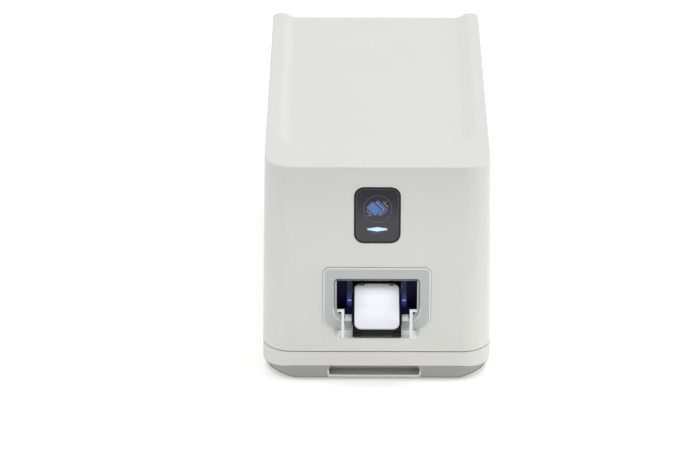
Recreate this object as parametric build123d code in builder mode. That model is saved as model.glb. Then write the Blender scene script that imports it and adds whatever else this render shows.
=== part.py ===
from build123d import *
import os
from math import atan2, cos, degrees, radians, sin, tan

# A desktop scanner for dental phosphor plates, in millimetres.
# +Z is up, the front faces -Y and the origin is under the middle of the whole, plate and tray included.

os.makedirs("parts", exist_ok=True)

# Housing
body_width = 154.4
front_corner = 20.0
rear_corner = 8.0
least_corner = 1.0
wall = 3.0
roof = 3.0
deck_drop = 3.5
side_draft = 2.2
parting_height = 24.0
parting_gap = 0.7
band_height = 12.9
floor_thickness = 3.8
overrun = 5.0
fit_gap = 0.3
slip_gap = 0.05

# Plate and its inclined path
path_angle = 20.0
plate_edge_y = -143.5
plate_edge_z = 48.5
plate_reach = 13.5
plate_width = 30.0
plate_length = 41.0
plate_thickness = 1.2
holder_side = 1.3
cover_end = 146.0
cover_low = 14.0
cover_sheet = 2.0

# Front mouth
bezel_width = 72.2
bezel_depth = 6.0
bezel_proud = 1.0
mouth_width = 54.0
mouth_under = 2.7
mouth_over = 28.1
bezel_under = 5.4
bezel_over = 10.0

# Transport frame
frame_half = 32.0
frame_sheet = 2.5
frame_setback = 24.0
frame_length = 143.0
rod_radius = 2.5
rod_inset = 7.5
rod_depth = 9.0
screw_radius = 3.0
screw_depth = 12.5

# Space behind and above the transport frame
board_gap = 18.0
power_length = 60.0
rear_space = 29.0
bench_gap = 6.53
bench_thickness = 4.0
optics_height = 16.0
headroom = 13.5

# Working values
mouth_low = plate_edge_z - mouth_under
mouth_high = plate_edge_z + mouth_over
bezel_low = mouth_low - bezel_under
bezel_high = mouth_high + bezel_over
front_y = plate_edge_y + plate_reach
frame_front = front_y + frame_setback
frame_rear = frame_front + frame_length
power_front = frame_rear + board_gap
power_rear = power_front + power_length
rear_y = power_rear + rear_space
half_depth = (rear_y - front_y) / 2
body_shift = (rear_y + front_y) / 2
cover_top = (cover_low + cover_sheet) * cos(radians(path_angle)) + cover_end * sin(radians(path_angle))
bench_height = plate_edge_z + cover_top + bench_gap
bench_top = bench_height + bench_thickness
body_height = bench_top + optics_height + headroom + roof + deck_drop
upper_height = body_height - parting_height
lean = degrees(atan2(side_draft, upper_height))
floor_top = band_height + floor_thickness
holder_half = plate_width / 2 + holder_side
frame_outer = frame_half + frame_sheet
rod_half = frame_half - rod_inset
front_face = Plane(
    origin=(0, front_y, parting_height),
    x_dir=(1, 0, 0),
    z_dir=(0, -cos(radians(lean)), sin(radians(lean))),
)
rear_face = Plane(
    origin=(0, rear_y, parting_height),
    x_dir=(-1, 0, 0),
    z_dir=(0, cos(radians(lean)), sin(radians(lean))),
)
incline = Plane(
    origin=(0, plate_edge_y, plate_edge_z),
    x_dir=(1, 0, 0),
    z_dir=(0, -sin(radians(path_angle)), cos(radians(path_angle))),
)
CORNER = (Align.MIN, Align.MIN, Align.MIN)
FOOT = (Align.CENTER, Align.CENTER, Align.MIN)


def level(height):
    """A level plane over the middle of the housing."""
    return Plane(origin=(0, body_shift, height))


def both(half):
    """The span from minus to plus one half width."""
    return (-half, half)


def slab(x_span, y_span, z_span, mode=Mode.ADD):
    """A box between two limits along each axis of the plane in use."""
    with Locations((x_span[0], y_span[0], z_span[0])):
        Box(
            x_span[1] - x_span[0],
            y_span[1] - y_span[0],
            z_span[1] - z_span[0],
            align=CORNER,
            mode=mode,
        )


def rod_along(radius, start, length, mode=Mode.ADD):
    """A round rod along the second axis of the plane in use."""
    with Locations(start):
        Cylinder(radius, length, rotation=(-90, 0, 0), align=FOOT, mode=mode)


def rod_across(radius, start, length, mode=Mode.ADD):
    """A round rod along the first axis of the plane in use."""
    with Locations(start):
        Cylinder(radius, length, rotation=(0, 90, 0), align=FOOT, mode=mode)


def post(radius, start, length, mode=Mode.ADD):
    """A round post along the third axis of the plane in use."""
    with Locations(start):
        Cylinder(radius, length, align=FOOT, mode=mode)


def soft_rectangle(width, low, high, top_radius, low_radius):
    """A rectangle whose upper and lower corners have their own radii."""
    with BuildSketch() as shape:
        with Locations((0, (low + high) / 2)):
            Rectangle(width, high - low)
        fillet(shape.vertices().group_by(Axis.Y)[-1], top_radius)
        fillet(shape.vertices().group_by(Axis.Y)[0], low_radius)
    return shape.sketch


def plan(inset):
    """The footprint of the housing, drawn in by an inset on every side."""
    return soft_rectangle(
        body_width - 2 * inset,
        -half_depth + inset,
        half_depth - inset,
        max(rear_corner - inset, least_corner),
        max(front_corner - inset, least_corner),
    )


def path_height(y, depth):
    """Height above the table, at one y, of the plane that lies depth under the plate's top."""
    return plate_edge_z + (y - plate_edge_y) * tan(radians(path_angle)) - depth / cos(radians(path_angle))


# Upper housing
top_edge_radius = 1.3
rim_width = 9.0
rim_slope = 6.0
front_rim = 33.4
deck_corner = 18.3
slope_radius = 8.0
rear_hole_inset = 21.2
rear_hole_rise = 10.0
rear_hole_drop = 30.0
rear_hole_corner = 4.0
display_width = 30.4
display_height = 40.4
display_drop = 35.1
display_corner = 6.4
bezel_top_corner = 4.5
bezel_low_corner = 9.0
flange_lap = 2.0
rear_flange = 5.5
rear_screw_inset = 3.5
rear_screw_radius = 1.25

top_half_width = body_width / 2 - side_draft
top_half_depth = half_depth - side_draft
deck_half = top_half_width - rim_width - rim_slope
deck_front = -top_half_depth + front_rim + rim_slope
deck_back = half_depth + deck_corner + rim_slope
slope_angle = degrees(atan2(rim_slope, deck_drop))
bezel_outline = soft_rectangle(
    bezel_width, bezel_low - parting_height, bezel_high - parting_height, bezel_top_corner, bezel_low_corner
)
collar_outline = soft_rectangle(
    bezel_width - 2 * flange_lap,
    bezel_low - parting_height + flange_lap,
    bezel_high - parting_height - flange_lap,
    bezel_top_corner - flange_lap,
    bezel_low_corner - flange_lap,
)
collar_hole = soft_rectangle(
    bezel_width - 2 * flange_lap + 2 * fit_gap,
    bezel_low - parting_height + flange_lap - fit_gap,
    bezel_high - parting_height - flange_lap + fit_gap,
    bezel_top_corner - flange_lap + fit_gap,
    bezel_low_corner - flange_lap + fit_gap,
)
display_middle = body_height - display_drop
rear_hole_width = body_width - 2 * rear_hole_inset
rear_hole_low = parting_height + rear_hole_rise
rear_hole_high = body_height - rear_hole_drop
rear_middle = (rear_hole_low + rear_hole_high) / 2 - parting_height
rear_hole_height = rear_hole_high - rear_hole_low
rear_screw_span_x = rear_hole_width + 2 * rear_screw_inset
rear_screw_span_v = rear_hole_height + 2 * rear_screw_inset
outer_plan = plan(0)
inner_plan = plan(wall)

with BuildPart() as deck_tray:
    with BuildSketch(level(body_height - deck_drop)):
        with Locations((0, (deck_front + deck_back) / 2)):
            RectangleRounded(2 * deck_half, deck_back - deck_front, deck_corner)
    extrude(amount=deck_drop + overrun, taper=-slope_angle)
    fillet(deck_tray.faces().sort_by(Axis.Z)[0].edges(), slope_radius)


def is_crest(edge):
    """True for the upper edges of the tray on the housing's top."""
    middle = edge.center()
    inside = abs(middle.X) < deck_half + rim_slope + fit_gap
    between_ends = abs(middle.Y - body_shift) < top_half_depth - top_edge_radius
    return inside and between_ends and middle.Z > body_height - slip_gap


def is_outer_top(edge):
    """True for the edges round the outside of the housing's top."""
    middle = edge.center()
    at_side = abs(middle.X) > deck_half + rim_slope + fit_gap
    at_end = abs(middle.Y - body_shift) > top_half_depth - top_edge_radius
    return middle.Z > body_height - deck_drop - slip_gap and (at_side or at_end)


with BuildPart() as upper_housing:
    with BuildSketch(level(parting_height)):
        add(outer_plan)
    extrude(amount=upper_height, taper=lean)
    add(deck_tray.part, mode=Mode.SUBTRACT)
    fillet(upper_housing.edges().filter_by(is_crest), slope_radius)
    fillet(upper_housing.edges().filter_by(is_outer_top), top_edge_radius)
    with BuildSketch(level(parting_height)):
        add(inner_plan)
    extrude(amount=upper_height - deck_drop - roof, taper=lean, mode=Mode.SUBTRACT)
    with BuildSketch(front_face.offset(-wall - overrun)):
        add(collar_hole)
        with Locations((0, display_middle - parting_height)):
            RectangleRounded(
                display_width + 2 * fit_gap, display_height + 2 * fit_gap, display_corner + fit_gap
            )
    extrude(amount=wall + 2 * overrun, mode=Mode.SUBTRACT)
    with BuildSketch(rear_face.offset(-wall - overrun)):
        with Locations((0, rear_middle)):
            RectangleRounded(rear_hole_width, rear_hole_height, rear_hole_corner)
            with GridLocations(rear_screw_span_x, rear_screw_span_v, 2, 2):
                Circle(rear_screw_radius + slip_gap)
    extrude(amount=wall + 2 * overrun, mode=Mode.SUBTRACT)
upper_housing.part.label = "upper_housing"
export_step(upper_housing.part, "parts/upper_housing.step")

# Base shell
lip_height = 4.0
lip_thickness = 1.5
base_low = 1.0
turn_height = 11.0
turn_inset = 2.2
turn_radius = 3.5
turn_front_corner = 24.0
turn_rear_corner = 9.0
skirt_thickness = 2.0
band_reach = 12.0
band_low = 2.8
band_bend_inset = 6.2
band_bend_height = 6.9
band_tip_inset = 3.2
band_tip_height = 11.0
boss_radius = 5.0
boss_height = 10.0
screw_inset_x = 19.2
screw_inset_y = 49.0
screw_hole_radius = 1.8
screw_x = body_width / 2 - screw_inset_x
screw_y = half_depth - screw_inset_y
lip_plan = plan(wall + fit_gap)
base_inner_plan = plan(wall + fit_gap + lip_thickness)


def turned_in(inset):
    """The base below the parting line, which turns in towards the table, drawn in by an inset."""
    foot_inset = turn_inset + inset
    with BuildPart() as shape:
        with BuildSketch(level(base_low)):
            add(
                soft_rectangle(
                    body_width - 2 * foot_inset,
                    -half_depth + foot_inset,
                    half_depth - foot_inset,
                    turn_rear_corner - inset,
                    turn_front_corner - inset,
                )
            )
        with BuildSketch(level(turn_height)):
            add(plan(inset))
        loft()
        fillet(shape.faces().sort_by(Axis.Z)[0].edges(), turn_radius - inset)
        with BuildSketch(level(turn_height)):
            add(plan(inset))
        extrude(amount=band_height - turn_height)
    return shape.part


def band_outline(inset):
    """The front band as seen from the front, pointed at both ends and drawn in by an inset."""
    flat_half = body_width / 2 - front_corner
    bend_half = body_width / 2 - band_bend_inset
    tip_half = body_width / 2 - band_tip_inset
    with BuildSketch() as shape:
        with BuildLine():
            Polyline(
                (-flat_half, band_low),
                (flat_half, band_low),
                (bend_half, band_bend_height),
                (tip_half, band_tip_height),
                (flat_half, band_height),
                (-flat_half, band_height),
                (-tip_half, band_tip_height),
                (-bend_half, band_bend_height),
                close=True,
            )
        make_face()
        if inset:
            offset(amount=-inset, kind=Kind.INTERSECTION)
    return shape.sketch


with BuildPart() as base_shell:
    add(turned_in(0))
    with BuildSketch(level(band_height)):
        add(outer_plan)
    extrude(amount=parting_height - parting_gap - band_height)
    add(turned_in(skirt_thickness), mode=Mode.SUBTRACT)
    with BuildSketch(Plane.XZ.offset(-front_y - band_reach)):
        add(band_outline(0))
    extrude(amount=band_reach + overrun, mode=Mode.SUBTRACT)
    with BuildSketch(level(floor_top)):
        add(lip_plan)
    extrude(amount=parting_height + lip_height - floor_top)
    with BuildSketch(level(floor_top)):
        add(base_inner_plan)
    extrude(amount=parting_height + lip_height - floor_top, mode=Mode.SUBTRACT)
    with Locations(level(floor_top)):
        with GridLocations(2 * screw_x, 2 * screw_y, 2, 2):
            Cylinder(boss_radius, boss_height, align=FOOT)
    with Locations(level(band_height)):
        with GridLocations(2 * screw_x, 2 * screw_y, 2, 2):
            Cylinder(screw_hole_radius, floor_thickness + boss_height, align=FOOT, mode=Mode.SUBTRACT)
base_shell.part.label = "base_shell"
export_step(base_shell.part, "parts/base_shell.step")

# Base pan
band_inset = 0.5
pan_wall = 3.0
pan_floor = 3.0
recess_width = 61.4
recess_low = 5.0
recess_depth = 12.0
recess_cut_in = 1.6
recess_cut_down = 3.2
recess_shift = -1.6
recess_wall = 2.0
foot_radius = 8.0
foot_inset_x = 25.2
foot_inset_y = 31.0
foot_recess = 1.0
head_radius = 3.2
head_height = 2.0

foot_x = body_width / 2 - foot_inset_x
foot_y = half_depth - foot_inset_y
skirt_inset = skirt_thickness + fit_gap
pan_inner_plan = plan(skirt_inset + turn_inset + pan_wall)
recess_half = recess_width / 2
recess_back = front_y + recess_depth

with BuildPart() as front_band:
    add(turned_in(band_inset))
    with BuildSketch(Plane.XZ.offset(fit_gap - front_y - band_reach)):
        add(band_outline(fit_gap))
    extrude(amount=band_reach + overrun, mode=Mode.INTERSECT)

with BuildPart() as base_pan:
    add(turned_in(skirt_inset))
    add(front_band.part)
    with BuildSketch(level(base_low + pan_floor)):
        add(pan_inner_plan)
    extrude(amount=band_height - base_low, mode=Mode.SUBTRACT)
    slab(
        (recess_shift - recess_half - recess_wall, recess_shift + recess_half + recess_wall),
        (front_y + band_reach - fit_gap, recess_back + recess_wall),
        (base_low + pan_floor, band_height),
    )
    with BuildSketch(Plane.XZ.offset(-recess_back)):
        with BuildLine():
            Polyline(
                (recess_shift - recess_half, recess_low),
                (recess_shift + recess_half, recess_low),
                (recess_shift + recess_half, band_height - recess_cut_down),
                (recess_shift + recess_half - recess_cut_in, band_height),
                (recess_shift - recess_half + recess_cut_in, band_height),
                (recess_shift - recess_half, band_height - recess_cut_down),
                close=True,
            )
        make_face()
    extrude(amount=recess_depth + overrun, mode=Mode.SUBTRACT)
    with Locations(level(base_low)):
        with GridLocations(2 * foot_x, 2 * foot_y, 2, 2):
            Cylinder(foot_radius + fit_gap, foot_recess, align=FOOT, mode=Mode.SUBTRACT)
        with GridLocations(2 * screw_x, 2 * screw_y, 2, 2):
            Cylinder(screw_hole_radius, pan_floor, align=FOOT, mode=Mode.SUBTRACT)
            Cylinder(head_radius + fit_gap, head_height, align=FOOT, mode=Mode.SUBTRACT)
base_pan.part.label = "base_pan"
export_step(base_pan.part, "parts/base_pan.step")

# Rubber feet
foot_edge = 0.5

with BuildPart(level(0)) as rubber_feet:
    with GridLocations(2 * foot_x, 2 * foot_y, 2, 2):
        Cylinder(foot_radius, base_low + foot_recess, align=FOOT)
    fillet(rubber_feet.faces().group_by(Axis.Z)[0].edges(), foot_edge)
rubber_feet.part.label = "rubber_feet"
export_step(rubber_feet.part, "parts/rubber_feet.step")

# Base screws
shank_radius = 1.5
socket_radius = 1.4
socket_depth = 1.2
head_seat = base_low + head_height

with BuildPart() as base_screws:
    with Locations(level(base_low + slip_gap)):
        with GridLocations(2 * screw_x, 2 * screw_y, 2, 2):
            Cylinder(head_radius, head_height - slip_gap, align=FOOT)
    with Locations(level(head_seat)):
        with GridLocations(2 * screw_x, 2 * screw_y, 2, 2):
            Cylinder(shank_radius, floor_top + boss_height - head_seat - wall, align=FOOT)
    with Locations(level(base_low + slip_gap)):
        with GridLocations(2 * screw_x, 2 * screw_y, 2, 2):
            Cylinder(socket_radius, socket_depth, align=FOOT, mode=Mode.SUBTRACT)
base_screws.part.label = "base_screws"
export_step(base_screws.part, "parts/base_screws.step")

# Display frame
display_rim = 1.3
display_proud = 0.3
display_depth = 5.0
display_v = display_middle - parting_height
screen_width = display_width - 2 * display_rim
screen_height = display_height - 2 * display_rim
screen_corner = display_corner - display_rim

with BuildPart() as display_frame:
    with BuildSketch(front_face.offset(-display_depth)):
        with Locations((0, display_v)):
            RectangleRounded(display_width, display_height, display_corner)
            RectangleRounded(screen_width, screen_height, screen_corner, mode=Mode.SUBTRACT)
    extrude(amount=display_depth + display_proud)
    fillet(display_frame.faces().sort_by(Axis.Y)[0].edges(), display_proud / 2)
display_frame.part.label = "display_frame"
export_step(display_frame.part, "parts/display_frame.step")

# Display window
window_thickness = 1.0
light_bar_width = 13.2
light_bar_height = 1.6
light_bar_drop = 10.1
light_bar_v = display_v - light_bar_drop

with BuildPart() as display_window:
    with BuildSketch(front_face.offset(-window_thickness)):
        with Locations((0, display_v)):
            RectangleRounded(
                screen_width - 2 * slip_gap, screen_height - 2 * slip_gap, screen_corner - slip_gap
            )
        with Locations((0, light_bar_v)):
            SlotOverall(
                light_bar_width + 2 * slip_gap, light_bar_height + 2 * slip_gap, mode=Mode.SUBTRACT
            )
    extrude(amount=window_thickness)
display_window.part.label = "display_window"
export_step(display_window.part, "parts/display_window.step")

# Status light guide
with BuildPart() as status_light:
    with BuildSketch(front_face.offset(-window_thickness)):
        with Locations((0, light_bar_v)):
            SlotOverall(light_bar_width, light_bar_height)
    extrude(amount=window_thickness + slip_gap)
status_light.part.label = "status_light"
export_step(status_light.part, "parts/status_light.step")

# Display module and its bracket
bracket_margin = 6.0
bracket_sheet = 2.0
bracket_width = display_width + 2 * bracket_margin
bracket_height = display_height + 2 * bracket_margin

with BuildPart() as display_module:
    with BuildSketch(front_face.offset(-display_depth)):
        with Locations((0, display_v)):
            RectangleRounded(
                screen_width - 2 * fit_gap, screen_height - 2 * fit_gap, screen_corner - fit_gap
            )
    extrude(amount=display_depth - window_thickness)
display_module.part.label = "display_module"
export_step(display_module.part, "parts/display_module.step")

with BuildPart(front_face) as display_bracket:
    slab(
        both(bracket_width / 2),
        (display_v - bracket_height / 2, display_v + bracket_height / 2),
        (-display_depth - bracket_sheet, -wall),
    )
    slab(
        both(display_width / 2 + fit_gap),
        (display_v - display_height / 2 - fit_gap, display_v + display_height / 2 + fit_gap),
        (-display_depth, -wall + overrun),
        mode=Mode.SUBTRACT,
    )
display_bracket.part.label = "display_bracket"
export_step(display_bracket.part, "parts/display_bracket.step")

# Slot bezel
lip_radius = 0.9
step_width = 1.7
step_depth = 3.0
step_slope = 6.0
mouth_low_corner = 4.5
mouth_top_corner = 1.0
sill_rise = 2.9
sill_face = 1.4
sill_corner = 7.0
sill_clear = 0.6
cheek_inset = 5.2
cheek_width = 2.0
cheek_clear = 0.4
rib_count = 33
rib_width = 0.6
rib_relief = 0.3
rib_margin = 0.5
lug_overlap = 0.7
lug_width = 2.2
lug_out = 3.7
lug_height = 3.4
hinge_out = 2.25
hinge_drop = 0.8
pin_radius = 0.6

lug_inner = mouth_width / 2 - lug_overlap
lug_outer = lug_inner + lug_width
cheek_inner = mouth_width / 2 - cheek_inset
cheek_outer = cheek_inner + cheek_width
sill_inner = holder_half + sill_clear
sill_outer = cheek_inner - cheek_clear
mouth_low_v = mouth_low - parting_height
mouth_high_v = mouth_high - parting_height
bezel_low_v = bezel_low - parting_height
sill_top_v = mouth_low_v + sill_rise
sill_low_v = mouth_low_v + sill_face
hinge_v = bezel_low_v - hinge_drop
mouth_outline = soft_rectangle(mouth_width, sill_top_v, mouth_high_v, mouth_top_corner, mouth_low_corner)
step_outline = soft_rectangle(
    mouth_width + 2 * step_width,
    sill_top_v + fit_gap,
    mouth_high_v + step_width,
    mouth_top_corner + step_width,
    mouth_low_corner + step_width,
)
sill_outline = soft_rectangle(
    mouth_width + 2 * step_width, sill_low_v, mouth_high_v + step_width, step_width, sill_corner
)
rib_pitch = 2 * (sill_outer - rib_margin) / (rib_count - 1)
rib_low_v = bezel_low_v + lip_radius
rib_high_v = sill_low_v - fit_gap

with BuildPart() as slot_bezel:
    with BuildSketch(front_face):
        add(bezel_outline)
    extrude(amount=bezel_proud)
    fillet(slot_bezel.faces().sort_by(Axis.Y)[0].edges(), lip_radius)
    with BuildSketch(front_face.offset(-bezel_depth)):
        add(collar_outline)
    extrude(amount=bezel_depth)
    with BuildSketch(front_face.offset(-bezel_depth)):
        add(mouth_outline)
    extrude(amount=bezel_depth + 2 * bezel_proud, mode=Mode.SUBTRACT)
    with BuildSketch(front_face.offset(bezel_proud - step_depth)):
        add(step_outline)
    extrude(amount=step_depth + slip_gap, taper=-step_slope, mode=Mode.SUBTRACT)
    with BuildSketch(front_face.offset(bezel_proud - step_depth)):
        add(mouth_outline)
    with BuildSketch(front_face.offset(bezel_proud)):
        add(sill_outline)
    loft(mode=Mode.SUBTRACT)
    for notch_inner, notch_outer in (
        (-sill_inner, sill_inner),
        (sill_outer, cheek_outer + cheek_clear),
        (-cheek_outer - cheek_clear, -sill_outer),
    ):
        with Locations(front_face):
            slab(
                (notch_inner, notch_outer),
                (mouth_low_v, sill_top_v + sill_rise),
                (-bezel_depth, bezel_proud + slip_gap),
                mode=Mode.SUBTRACT,
            )
            slab(
                (notch_inner, notch_outer),
                (mouth_low_v - step_width, sill_top_v),
                (bezel_proud - step_depth, bezel_proud + slip_gap),
                mode=Mode.SUBTRACT,
            )
    with BuildSketch(front_face.offset(bezel_proud - rib_relief)):
        with Locations((0, (rib_low_v + rib_high_v) / 2)):
            with GridLocations(rib_pitch, rib_pitch, rib_count, 1):
                Rectangle(rib_pitch - rib_width, rib_high_v - rib_low_v)
    extrude(amount=rib_relief + bezel_proud, mode=Mode.SUBTRACT)
    for side in (-1, 1):
        lug_span = sorted((side * lug_inner, side * lug_outer))
        with Locations(front_face):
            with Locations(((lug_span[0] + lug_span[1]) / 2, hinge_v, bezel_proud / 2)):
                Box(
                    lug_width,
                    lug_height,
                    lug_out - bezel_proud / 2,
                    align=(Align.CENTER, Align.CENTER, Align.MIN),
                )
    with Locations(front_face):
        rod_across(
            pin_radius + slip_gap, (-lug_outer, hinge_v, hinge_out), 2 * lug_outer, mode=Mode.SUBTRACT
        )
slot_bezel.part.label = "slot_bezel"
export_step(slot_bezel.part, "parts/slot_bezel.step")

# Folding lip in front of the mouth
flap_gap = 0.4
flap_length = 10.5
flap_thickness = 1.6
knuckle_radius = 1.2
cheek_height = 20.6
cheek_depth = 2.5
ear_width = 2.8
ear_height = 0.9
gusset = 5.0
flap_corner = 2.5
flap_half = lug_inner - flap_gap
hinge_point = front_face.from_local_coords(Vector(0, hinge_v, hinge_out))
hinge_y = hinge_point.Y
hinge_z = hinge_point.Z
flap_top = hinge_z + flap_thickness / 2
flap_front = hinge_y - flap_length

with BuildPart() as mouth_flap:
    with BuildSketch(Plane.XY.offset(hinge_z - flap_thickness / 2)) as flap_sheet:
        with Locations((0, hinge_y - flap_length / 2)):
            Rectangle(2 * flap_half, flap_length)
        fillet(flap_sheet.vertices().group_by(Axis.Y)[0], flap_corner)
    extrude(amount=flap_thickness)
    rod_across(knuckle_radius, (-flap_half, hinge_y, hinge_z), 2 * flap_half)
    for side in (-1, 1):
        slab(
            sorted((side * cheek_inner, side * cheek_outer)),
            (flap_front, flap_front + cheek_depth),
            (flap_top, flap_top + cheek_height),
        )
        slab(
            sorted((side * cheek_inner, side * (cheek_outer + ear_width))),
            (flap_front, flap_front + cheek_depth),
            (flap_top + cheek_height - ear_height, flap_top + cheek_height),
        )
    with BuildSketch(Plane.YZ):
        with BuildLine():
            Polyline(
                (flap_front + cheek_depth, flap_top),
                (flap_front + cheek_depth + gusset / 2, flap_top),
                (flap_front + cheek_depth, flap_top + gusset),
                close=True,
            )
        make_face()
    extrude(amount=cheek_outer, both=True)
    slab(
        both(cheek_inner),
        (flap_front + cheek_depth, flap_front + cheek_depth + gusset),
        (flap_top, flap_top + gusset),
        mode=Mode.SUBTRACT,
    )
    rod_across(pin_radius + slip_gap, (-flap_half, hinge_y, hinge_z), 2 * flap_half, mode=Mode.SUBTRACT)
mouth_flap.part.label = "mouth_flap"
export_step(mouth_flap.part, "parts/mouth_flap.step")

# Hinge pin of the lip
with BuildPart() as flap_pin:
    rod_across(pin_radius, (-lug_outer, hinge_y, hinge_z), 2 * lug_outer)
flap_pin.part.label = "flap_pin"
export_step(flap_pin.part, "parts/flap_pin.step")

# Throat behind the mouth
throat_wall = 1.6
throat_half = mouth_width / 2 + fit_gap
throat_length = 23.6
window_side = 1.8
window_rise = 7.2
window_drop = 9.1
guide_setback = 16.0
guide_depth = 4.2
guide_clear = 0.6
guide_width = 3.2
guide_rise = 21.4
guide_bridge = 3.0
throat_rear = front_y + throat_length
guide_y = front_y + guide_setback
guide_inner = holder_half + guide_clear
guide_height = mouth_high + guide_rise
window_half = guide_inner + window_side
window_low = mouth_low + window_rise
window_high = mouth_high - window_drop
bezel_back = front_face.offset(-bezel_depth)

with BuildPart() as mouth_throat:
    slab(
        both(throat_half + throat_wall),
        (front_y, throat_rear),
        (mouth_low - throat_wall, mouth_high + throat_wall),
    )
    slab(
        both(throat_half),
        (front_y - overrun, throat_rear - throat_wall),
        (mouth_low, mouth_high),
        mode=Mode.SUBTRACT,
    )
    slab(
        both(window_half),
        (throat_rear - throat_wall - overrun, throat_rear + overrun),
        (window_low, window_high),
        mode=Mode.SUBTRACT,
    )
    slab(
        both(guide_inner + guide_width + fit_gap),
        (guide_y - guide_depth / 2 - fit_gap, guide_y + guide_depth / 2 + fit_gap),
        (mouth_high, mouth_high + throat_wall + overrun),
        mode=Mode.SUBTRACT,
    )
    split(bisect_by=bezel_back, keep=Keep.BOTTOM)
mouth_throat.part.label = "mouth_throat"
export_step(mouth_throat.part, "parts/mouth_throat.step")

# Upright guides of the light gate
gate_side = 1.5
gate_thickness = 1.5
gate_drop = 7.1
gate_play = 0.3
mark_radius = 0.5
mark_rise = 8.2
gate_half = guide_inner + gate_side
gate_rest = mouth_high - gate_drop
gate_height = guide_height - gate_rest - gate_thickness
mark_height = mouth_low + mark_rise

with BuildPart() as gate_guides:
    for left in (-guide_inner - guide_width, guide_inner):
        slab(
            (left, left + guide_width),
            (guide_y - guide_depth / 2, guide_y + guide_depth / 2),
            (mouth_low, guide_height),
        )
        rod_across(mark_radius, (left, guide_y - guide_depth / 2, mark_height), guide_width)
    slab(
        both(guide_inner + guide_width),
        (guide_y - guide_depth / 2, guide_y + guide_depth / 2),
        (guide_height, guide_height + guide_bridge),
    )
    slab(
        both(gate_half + gate_play),
        (guide_y - gate_thickness / 2 - gate_play, guide_y + gate_thickness / 2 + gate_play),
        (mouth_low, guide_height),
        mode=Mode.SUBTRACT,
    )
gate_guides.part.label = "gate_guides"
export_step(gate_guides.part, "parts/gate_guides.step")

# Light gate
pull_width = 8.0
pull_height = 3.0

with BuildPart() as light_gate:
    slab(
        both(gate_half),
        (guide_y - gate_thickness / 2, guide_y + gate_thickness / 2),
        (gate_rest, gate_rest + gate_height),
    )
    slab(
        both(pull_width / 2),
        (guide_y + gate_thickness / 2, guide_y + guide_depth / 2),
        (gate_rest + gate_height - pull_height, gate_rest + gate_height),
    )
    fillet(light_gate.edges().filter_by(Axis.X).group_by(Axis.Z)[0], gate_thickness / 3)
light_gate.part.label = "light_gate"
export_step(light_gate.part, "parts/light_gate.step")

# Sill ramp
holder_depth = 5.8
holder_foot_drop = 0.8
ramp_gap = 0.5
ramp_side = 0.6
ramp_setback = 0.8
ramp_half = cheek_inner - ramp_side
ramp_inner_half = guide_inner - fit_gap
ramp_front = front_y + ramp_setback
ramp_shoulder = front_face.from_local_coords(Vector(0, sill_top_v, -bezel_depth)).Y + fit_gap
ramp_break = guide_y - guide_depth / 2 - fit_gap
ramp_rear = throat_rear - throat_wall - fit_gap
ramp_depth = holder_depth + holder_foot_drop + ramp_gap

with BuildPart() as sill_ramp:
    with BuildSketch(Plane.YZ):
        with BuildLine():
            Polyline(
                (ramp_front, mouth_low),
                (ramp_rear, mouth_low),
                (ramp_rear, path_height(ramp_rear, ramp_depth)),
                (ramp_front, path_height(ramp_front, ramp_depth)),
                close=True,
            )
        make_face()
    extrude(amount=ramp_half, both=True)
    for side in (-1, 1):
        slab(
            sorted((side * ramp_inner_half, side * (ramp_half + overrun))),
            (ramp_break, ramp_rear + overrun),
            (mouth_low - overrun, mouth_high),
            mode=Mode.SUBTRACT,
        )
        slab(
            sorted((side * (sill_inner - fit_gap), side * (ramp_half + overrun))),
            (front_y - overrun, ramp_shoulder),
            (mouth_low - overrun, mouth_high),
            mode=Mode.SUBTRACT,
        )
sill_ramp.part.label = "sill_ramp"
export_step(sill_ramp.part, "parts/sill_ramp.step")

# Phosphor plate
plate_corner = 4.6
plate_rim = 0.3

with BuildPart() as phosphor_plate:
    with BuildSketch(incline.offset(-plate_thickness)):
        with Locations((0, plate_length / 2)):
            RectangleRounded(plate_width, plate_length, plate_corner)
    extrude(amount=plate_thickness)
    fillet(phosphor_plate.faces().filter_by(incline).sort_by(Axis.Z)[-1].edges(), plate_rim)
phosphor_plate.part.label = "phosphor_plate"
export_step(phosphor_plate.part, "parts/phosphor_plate.step")

# Plate holder
holder_front = -1.2
holder_tail = 3.0
holder_length = plate_length + holder_tail
holder_floor = -plate_thickness
holder_wall_top = -0.3
corner_wall = 1.0
corner_reach = 5.0
foot_inner = 10.5
foot_front = -1.8
foot_rear = 2.5

with BuildPart(incline) as plate_holder:
    slab(both(holder_half), (holder_front, holder_length), (-holder_depth, holder_floor))
    for side in (-1, 1):
        slab(
            sorted((side * (holder_half - corner_wall), side * holder_half)),
            (holder_front, corner_reach),
            (holder_floor, holder_wall_top),
        )
        slab(
            sorted((side * foot_inner, side * holder_half)),
            (foot_front, foot_rear),
            (-holder_depth - holder_foot_drop, -holder_depth / 2),
        )
plate_holder.part.label = "plate_holder"
export_step(plate_holder.part, "parts/plate_holder.step")

# Carriage
carriage_front = holder_length
carriage_length = 18.0
carriage_side = 2.0
carriage_top = 1.5
carriage_low = 19.0
bush_outer = 4.0
nut_radius = 5.0
carriage_half = frame_half - carriage_side
carriage_rear = carriage_front + carriage_length

with BuildPart(incline) as carriage:
    slab(both(carriage_half), (carriage_front, carriage_rear), (-carriage_low, -carriage_top))
    for side in (-1, 1):
        rod_along(
            bush_outer + slip_gap,
            (side * rod_half, carriage_front, -rod_depth),
            carriage_length,
            mode=Mode.SUBTRACT,
        )
    rod_along(nut_radius + slip_gap, (0, carriage_front, -screw_depth), carriage_length, mode=Mode.SUBTRACT)
carriage.part.label = "carriage"
export_step(carriage.part, "parts/carriage.step")

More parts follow.
